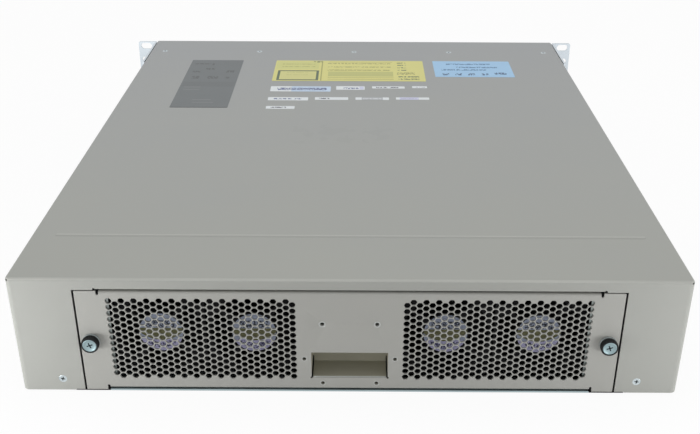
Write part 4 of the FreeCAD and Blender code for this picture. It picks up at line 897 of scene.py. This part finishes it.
olive, deep_green = (0.36, 0.35, 0.09), (0.06, 0.10, 0.04)
yellow_green = (0.50, 0.50, 0.16)
yellow_marks = [
    (-80, -36, 160, 184, (0.60, 0.60, 0.20), "field"), *rows_of(-74, -40, (176, 168), 1.6, olive),
    (-77.2, -35.4, 125, 155, deep_green, "frame"),
    (-74, -39, 128, 152, (0.62, 0.60, 0.22), "field"),
    *rows_of(-68, -46, (149, 142), 1.6, yellow_green), (-33.4, -32.2, 124, 185, olive, "field"),
    *rows_of(-27, 38, (179, 168, 158), 3.0, olive), *rows_of(-26, 40, (183,), 1.0, olive, "field"),
    (-26, 40, 137, 152, yellow_green, "field"), *rows_of(-26, 40, (134, 129), 1.2, olive, "field"),
    *rows_of(45, 54, (181, 174, 166, 158), 2.4, deep_green),
    (44, 62, 143, 150, (0.36, 0.35, 0.10), "dashes"),
    *rows_of(45, 66, (138, 131), 3.0, deep_green), (-42, -33, 181, 184.5, deep_green, "dashes")]
film("yellow_label", -81.3, 72, 123, 187, printed("yellow_label_film", yellow_film, yellow_marks))

ink_blue, ink_dark = (0.06, 0.17, 0.34), (0.02, 0.07, 0.17)
blue_marks = [(x0, x1, top - 4.0, top, ink_blue, "dashes")
              for x0, x1, top in ((96, 142, 179), (106, 148, 169), (90, 136, 161))]
blue_marks += [(x, x + 7, 142.0, 148, ink_dark, "dashes") for x in (90, 103, 116, 130)]
blue_marks += [(143, 156, 145.0, 151, ink_dark, "dashes")]
film("blue_label", 82.4, 162.5, 137, 187, printed("blue_label_film", blue_film, blue_marks))

# %% The narrow strips
paper_white, paper_blue, lavender = (0.76, 0.80, 0.82), (0.55, 0.68, 0.84), (0.60, 0.62, 0.80)
strip_ink, strip_navy = (0.05, 0.06, 0.08), (0.10, 0.13, 0.26)
grey_ink, grey_field, grey_dash, mauve = (
    (0.42, 0.44, 0.48), (0.42, 0.44, 0.46), (0.62, 0.65, 0.67), (0.45, 0.45, 0.62))
strips = [
    (-80.5, -22.0, 92.5, 107.0, [(-60, -22, 92, 108, paper_blue, "field"),
                                 (-74, -26, 96, 103, strip_navy, "dashes")]),
    (-16.8, 11.0, 98.0, 108.0, [(-9.5, 5.0, 100.2, 104.2, strip_navy, "dashes"),
                                (6, 10, 99, 107, lavender, "field")]),
    (18.2, 50.0, 102.0, 108.0, [(22, 45, 103.5, 106.0, strip_ink, "dashes")]),
    (57.3, 71.8, 103.5, 109.0, [(61, 70, 105, 107, grey_ink, "dashes")]),
    (-80.6, -42.6, 68.0, 76.5, [(-75, -49, 70.8, 73.8, strip_navy, "dashes")]),
    (-36.3, -4.7, 70.0, 77.0, [(-32.5, -22.5, 72.2, 75.2, strip_ink, "dashes")]),
    (2.1, 33.8, 70.5, 77.0, [(8, 28, 70, 78, grey_field, "field"),
                             (9, 27, 72, 75, grey_dash, "dashes")]),
    (40.5, 72.0, 71.5, 77.5, [(44, 62, 71, 78, lavender, "field"),
                              (45, 60, 73.5, 76, mauve, "dashes")]),
    (-80.5, -54.0, 46.0, 53.0, [(-76, -62, 48.3, 51, strip_ink, "dashes")]),
]
for k, (x0, x1, y0, y1, marks) in enumerate(strips, 1):
    name = f"strip_{k}"
    film(name, x0, x1, y0, y1, printed(name + "_film", paper_white, marks, dash=0.7), 0.8)

# %% [markdown]
# ## Hub labels of the fans
# Each fan's still hub carries a round label: a field of pale violet above and below, an olive band
# across the middle. Seen through the holes only patches of it show, so it needs the right colours
# more than the right marks.

# %% Hub labels
hub_y, hub_radius, fan_line, hub_thick = -245.0, 14.6, 40.4, 0.1
inner_fan, fan_pitch = 63.5, 62.0
fan_centres = [-inner_fan - fan_pitch, -inner_fan, inner_fan, inner_fan + fan_pitch]

hub_paper, place = start("hub_label_film")
x, y, z = xyz(place)
beside = (abs(x) - (inner_fan - fan_pitch / 2)) % fan_pitch - fan_pitch / 2
above = z - fan_line
ring_marks = within((beside * beside + above * above), 70.0, 150.0)
strokes = speckle(stretched(place, (0.8, 0.8, 0.8)), 1.0, 1.0) > 0.47
upper_tone = speckle(place, 0.12, 2.0).mix((0.24, 0.27, 0.36, 1), (0.34, 0.38, 0.48, 1))
lower_tone = speckle(place, 0.12, 2.0).mix((0.34, 0.33, 0.50, 1), (0.44, 0.43, 0.62, 1))
olive_tone = speckle(place, 0.3, 2.0).mix((0.085, 0.085, 0.04, 1), (0.16, 0.155, 0.075, 1))
rounded = beside * beside * 0.03
color = (above < -5.4).mix(upper_tone, lower_tone)
color = within(above, rounded - 6.2, 3.4).mix(color, olive_tone)
upper_print = within(above, 3.9, 9.5) * within(beside, -9.5, 9.5) * strokes
lower_print = ring_marks * (above < -6.4) * strokes
color = upper_print.mix(color, (0.03, 0.035, 0.05, 1))
color = lower_print.mix(color, (0.04, 0.04, 0.09, 1))
finish(hub_paper, place, color, 0.5, Specular_IOR_Level=0.25)

form = bmesh.new()
for centre in fan_centres:
    disc = bmesh.ops.create_circle(form, cap_ends=True, segments=48,
                                   radius=hub_radius * mm)["verts"]
    bmesh.ops.transform(form, verts=disc, matrix=at(centre, hub_y, fan_line) @ facing("-y"))
thicken(form, y=-hub_thick)
piece("hub_labels", form, "fan_tray", hub_paper)

# %% [markdown]
# ## Small parts round the tray
# The tray's six small holes have rims, and the pocket's floor ends in a thin lip. Both take a
# lighter copy of the tray coat: a painted highlight. Behind the outermost holes stands the folded
# edge of the tray's box, in a dark zinc: painted shade. Black strips on each side fill the seams
# between the tray, the pan and the wings, and black pads close the view through the bend reliefs:
# dark pieces where there is only shade, painted shade.

# %% Pale edges of the small holes
form = bmesh.new()
bore_radius, plain_wide, dimple_wide = 1.59, 0.92, 1.12
eyelet = [(1.5, -0.5), (1.5, 0.02), (1.58, 0.06), (1.95, 0.06), (2.1, 0.0), (2.1, -0.2),
          (1.6, -0.5)]
eyelet_spots = [(x, z, plain_wide) for x, z in small_holes]
eyelet_spots += [(x, z, dimple_wide) for x, z in dimples]
for x, z, wide in eyelet_spots:
    turn_ring(form, [(radius if radius < bore_radius else radius * wide, height)
                     for radius, height in eyelet], 24)
    new = [vert for vert in form.verts if not vert.tag]
    bmesh.ops.transform(form, verts=new, matrix=at(x, face_y, z) @ facing("-y"))
    for vert in new:
        vert.tag = True
close_seams(form)
# Painted highlight: the hole rims take a lighter copy of the tray coat.
edge_highlight_coat = powder("hole_edge_painted_highlight", (0.47, 0.49, 0.47))
piece("hole_edges", form, "fan_tray", edge_highlight_coat)

# %% Bars with softened edges
def add_bar(form, low, high, soften=0.15):
    """A bar between two corners in millimetres, with its edges bevelled."""
    low, high = Vector(low), Vector(high)
    made = bmesh.ops.create_cube(form, size=1.0)["verts"]
    seat = at(*(low + high) / 2) @ Matrix.Diagonal((*((high - low) * mm), 1))
    bmesh.ops.transform(form, verts=made, matrix=seat)
    edges = list({edge for vert in made for edge in vert.link_edges})
    bevel(form, edges, soften, 2)


def bars(*rows, mirror=True):
    """A form of bars (x0, x1, y0, y1, z0, z1, soften), each also mirrored to the other side."""
    form = bmesh.new()
    for side in (-1, 1) if mirror else (1,):
        for x0, x1, y0, y1, z0, z1, soften in rows:
            left, right = sorted((side * x0, side * x1))
            add_bar(form, (left, y0, z0), (right, y1, z1), soften)
    return form


# The pocket's lip takes the same lighter coat: a painted highlight.
form = bars((-24.2, 24.2, -254.7, -253.9, 11.55, 12.05, 0.12), mirror=False)
piece("pocket_lip", form, "fan_tray", edge_highlight_coat)

# Painted shade: the box's edge takes a dark zinc.
form = bars((155.5, 160.4, -253.3, -252.5, 9.0, 74.5, 0.1))
piece("box_edges", form, "fan_tray", plated("box_edge_zinc_painted_shade", (0.30, 0.33, 0.32), 0.5))

# Painted shade: black strips fill the seams under the tray's ends and beside the wings, dark pieces
# where there is only shade.
shade_black = moulded("seam_painted_shade", (0.012, 0.012, 0.013), 0.8, 1.2, 0.15, shine=0.05)
strip_back, under_wing = -249.7, max(0.3, cover_low.z - 0.04)
form = bars((161.0, 178.0, -254.98, strip_back, 0.02, 0.86, 0.08),
            (178.1, 184.3, -254.9, strip_back, 0.02, under_wing, 0.08),
            (176.3, 184.3, -252.1, strip_back, 0.9, 8.0, 0.2))
piece("seam_shade_strips", form, "chassis", shade_black)

# Painted shade: black pads behind the bend reliefs close the view through them.
form = bars((160.95, 163.4, -253.7, -253.0, 1.3, 5.4, 0.1),
            (160.95, 163.4, -253.7, -253.0, 73.6, 78.1, 0.1))
piece("relief_shade_pads", form, "fan_tray", shade_black)

# %% [markdown]
# ## The port side
# Each column of ports has four lenses that would show their state, lit from a board behind. Each
# service jack has eight gilded spring wires that slope down into its mouth. Each power supply has
# one lens and a strip of film. They are small, so each is a bar, repeated.

# %% Lenses
lens_plastic = moulded("lens_plastic", (0.50, 0.56, 0.52), 0.25, 1.0, 0.005)
port_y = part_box("front_panel")[1].y / mm
cage_low, cage_high = (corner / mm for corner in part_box("port_cage"))
plate_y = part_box("line_card_front")[1].y / mm
card_low, card_high = (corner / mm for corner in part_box("line_card_cage"))
ports, lens_places, lens_half = 4, (-7.5, -2.5, 2.5, 7.5), 1.2
lens_sunk, lens_proud, lens_foot, lens_head = 0.2, 0.35, 1.1, 2.3


def port_lenses(low, high, face):
    """A row of lenses above each of a cage's ports, in the plate whose face is given."""
    form = bmesh.new()
    for k in range(ports):
        centre = low.x + (k + 0.5) * (high.x - low.x) / ports
        for place in lens_places:
            add_bar(form, (centre + place - lens_half, face - lens_sunk, high.z + lens_foot),
                    (centre + place + lens_half, face + lens_proud, high.z + lens_head))
    return form


piece("port_lenses", port_lenses(cage_low, cage_high, port_y), "chassis", lens_plastic)
piece("card_lenses", port_lenses(card_low, card_high, plate_y), "line_card", lens_plastic)

# %% Contacts of the service jacks
jack_low, jack_high = (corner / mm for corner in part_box("console_jacks"))
wire_pitch, wire_wide, wire_long, wire_thick, wire_slope = 1.02, 0.4, 6.5, 0.3, -28
wire_y, wire_z = jack_high.y - 7.25, jack_high.z - 5.0
jack_step = (jack_high.x - jack_low.x) / 2
form = bmesh.new()
for jack in range(2):
    centre = jack_low.x + (jack + 0.5) * jack_step
    for k in range(8):
        wire = bmesh.ops.create_cube(form, size=1.0)["verts"]
        seat = (at(centre + (k - 3.5) * wire_pitch, wire_y, wire_z)
                @ Matrix.Rotation(math.radians(wire_slope), 4, "X")
                @ Matrix.Diagonal((wire_wide * mm, wire_long * mm, wire_thick * mm, 1)))
        bmesh.ops.transform(form, verts=wire, matrix=seat)
gilt = plated("gilt_wire", (0.83, 0.62, 0.25), 0.25, (0.9, 0.05, 0.9))
piece("jack_contacts", form, "chassis", gilt)

# %% Lens and film of each power supply
green_lens = moulded("green_lens", (0.08, 0.36, 0.13), 0.25, 1.0, 0.005)
film_paper = moulded("supply_film", (0.62, 0.64, 0.63), 0.45, 1.5, 0.005)
film_ink = moulded("supply_ink", (0.05, 0.05, 0.055), 0.5, 1.5, 0.005)
face_proud, film_thick, film_gap = 0.4, 0.12, 1.9
film_half, film_tall, marks_foot = 10.5, 3.6, 0.6
mark_count, mark_pitch, mark_half, mark_extra = 9, 2.1, 0.35, 0.12
tall_marks, tall, short = 5, 2.4, 1.0
for name in ("psu_lower", "psu_upper"):
    inlet_low, inlet_high = (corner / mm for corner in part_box(name + "_inlet"))
    plate_y, middle = cover_high.y + face_proud, (inlet_low.x + inlet_high.x) / 2
    foot = inlet_high.z + film_gap
    base = foot + marks_foot
    form = bars((middle - film_half, middle + film_half, plate_y - 0.1, plate_y + film_thick,
                 foot, foot + film_tall, 0.04), mirror=False)
    piece(name + "_film", form, name, film_paper)
    form = bmesh.new()
    for k in range(mark_count):
        x = middle + 8.6 - mark_pitch * k
        add_bar(form, (x - mark_half - mark_extra * (k % 3), plate_y, base),
                (x + mark_half, plate_y + film_thick + 0.04,
                 base + (tall if k < tall_marks else short)), 0.02)
    piece(name + "_marks", form, name, film_ink)
    form = bars((middle - 14.6, middle - 12.4, plate_y - lens_sunk, plate_y + lens_proud,
                 base, foot + 2.8, 0.3), mirror=False)
    piece(name + "_lens", form, name, green_lens)

# %% [markdown]
# ## Floor
# A plain pale sheet, larger than the view. The camera, metal and clear plastic see it as nearly
# white by its own glow, and the rest is diffuse paper, which carries the chassis's shadow.

# %% Floor
glow_share, floor_size, floor_drop = 0.92, 6.0, 0.0002
floor_material, place = start("floor_paper")
fibres = speckle(place, 0.02, 2.0)
paper_color = blend_tones(fibres, (0.91, 0.91, 0.91), (0.93, 0.93, 0.93))
paper = place.node("BsdfPrincipled", inputs={"Base Color": paper_color, "Roughness": 0.9})
glow = place.node("Emission", inputs={"Color": (1, 1, 1), "Strength": 1.0})
whiteness = glow_share * seen_directly(place)
surface = place.node("MixShader", inputs={0: whiteness, 1: paper, 2: glow})
place.node("OutputMaterial", inputs={"Surface": surface})
form = bmesh.new()
bmesh.ops.create_grid(form, x_segments=2, y_segments=2, size=floor_size)
mesh = bpy.data.meshes.new("floor")
form.to_mesh(mesh)
form.free()
floor = bpy.data.objects.new("floor", mesh)
floor.data.materials.append(floor_material)
floor.location.z = -floor_drop
scene.collection.objects.link(floor)
print("floor laid")
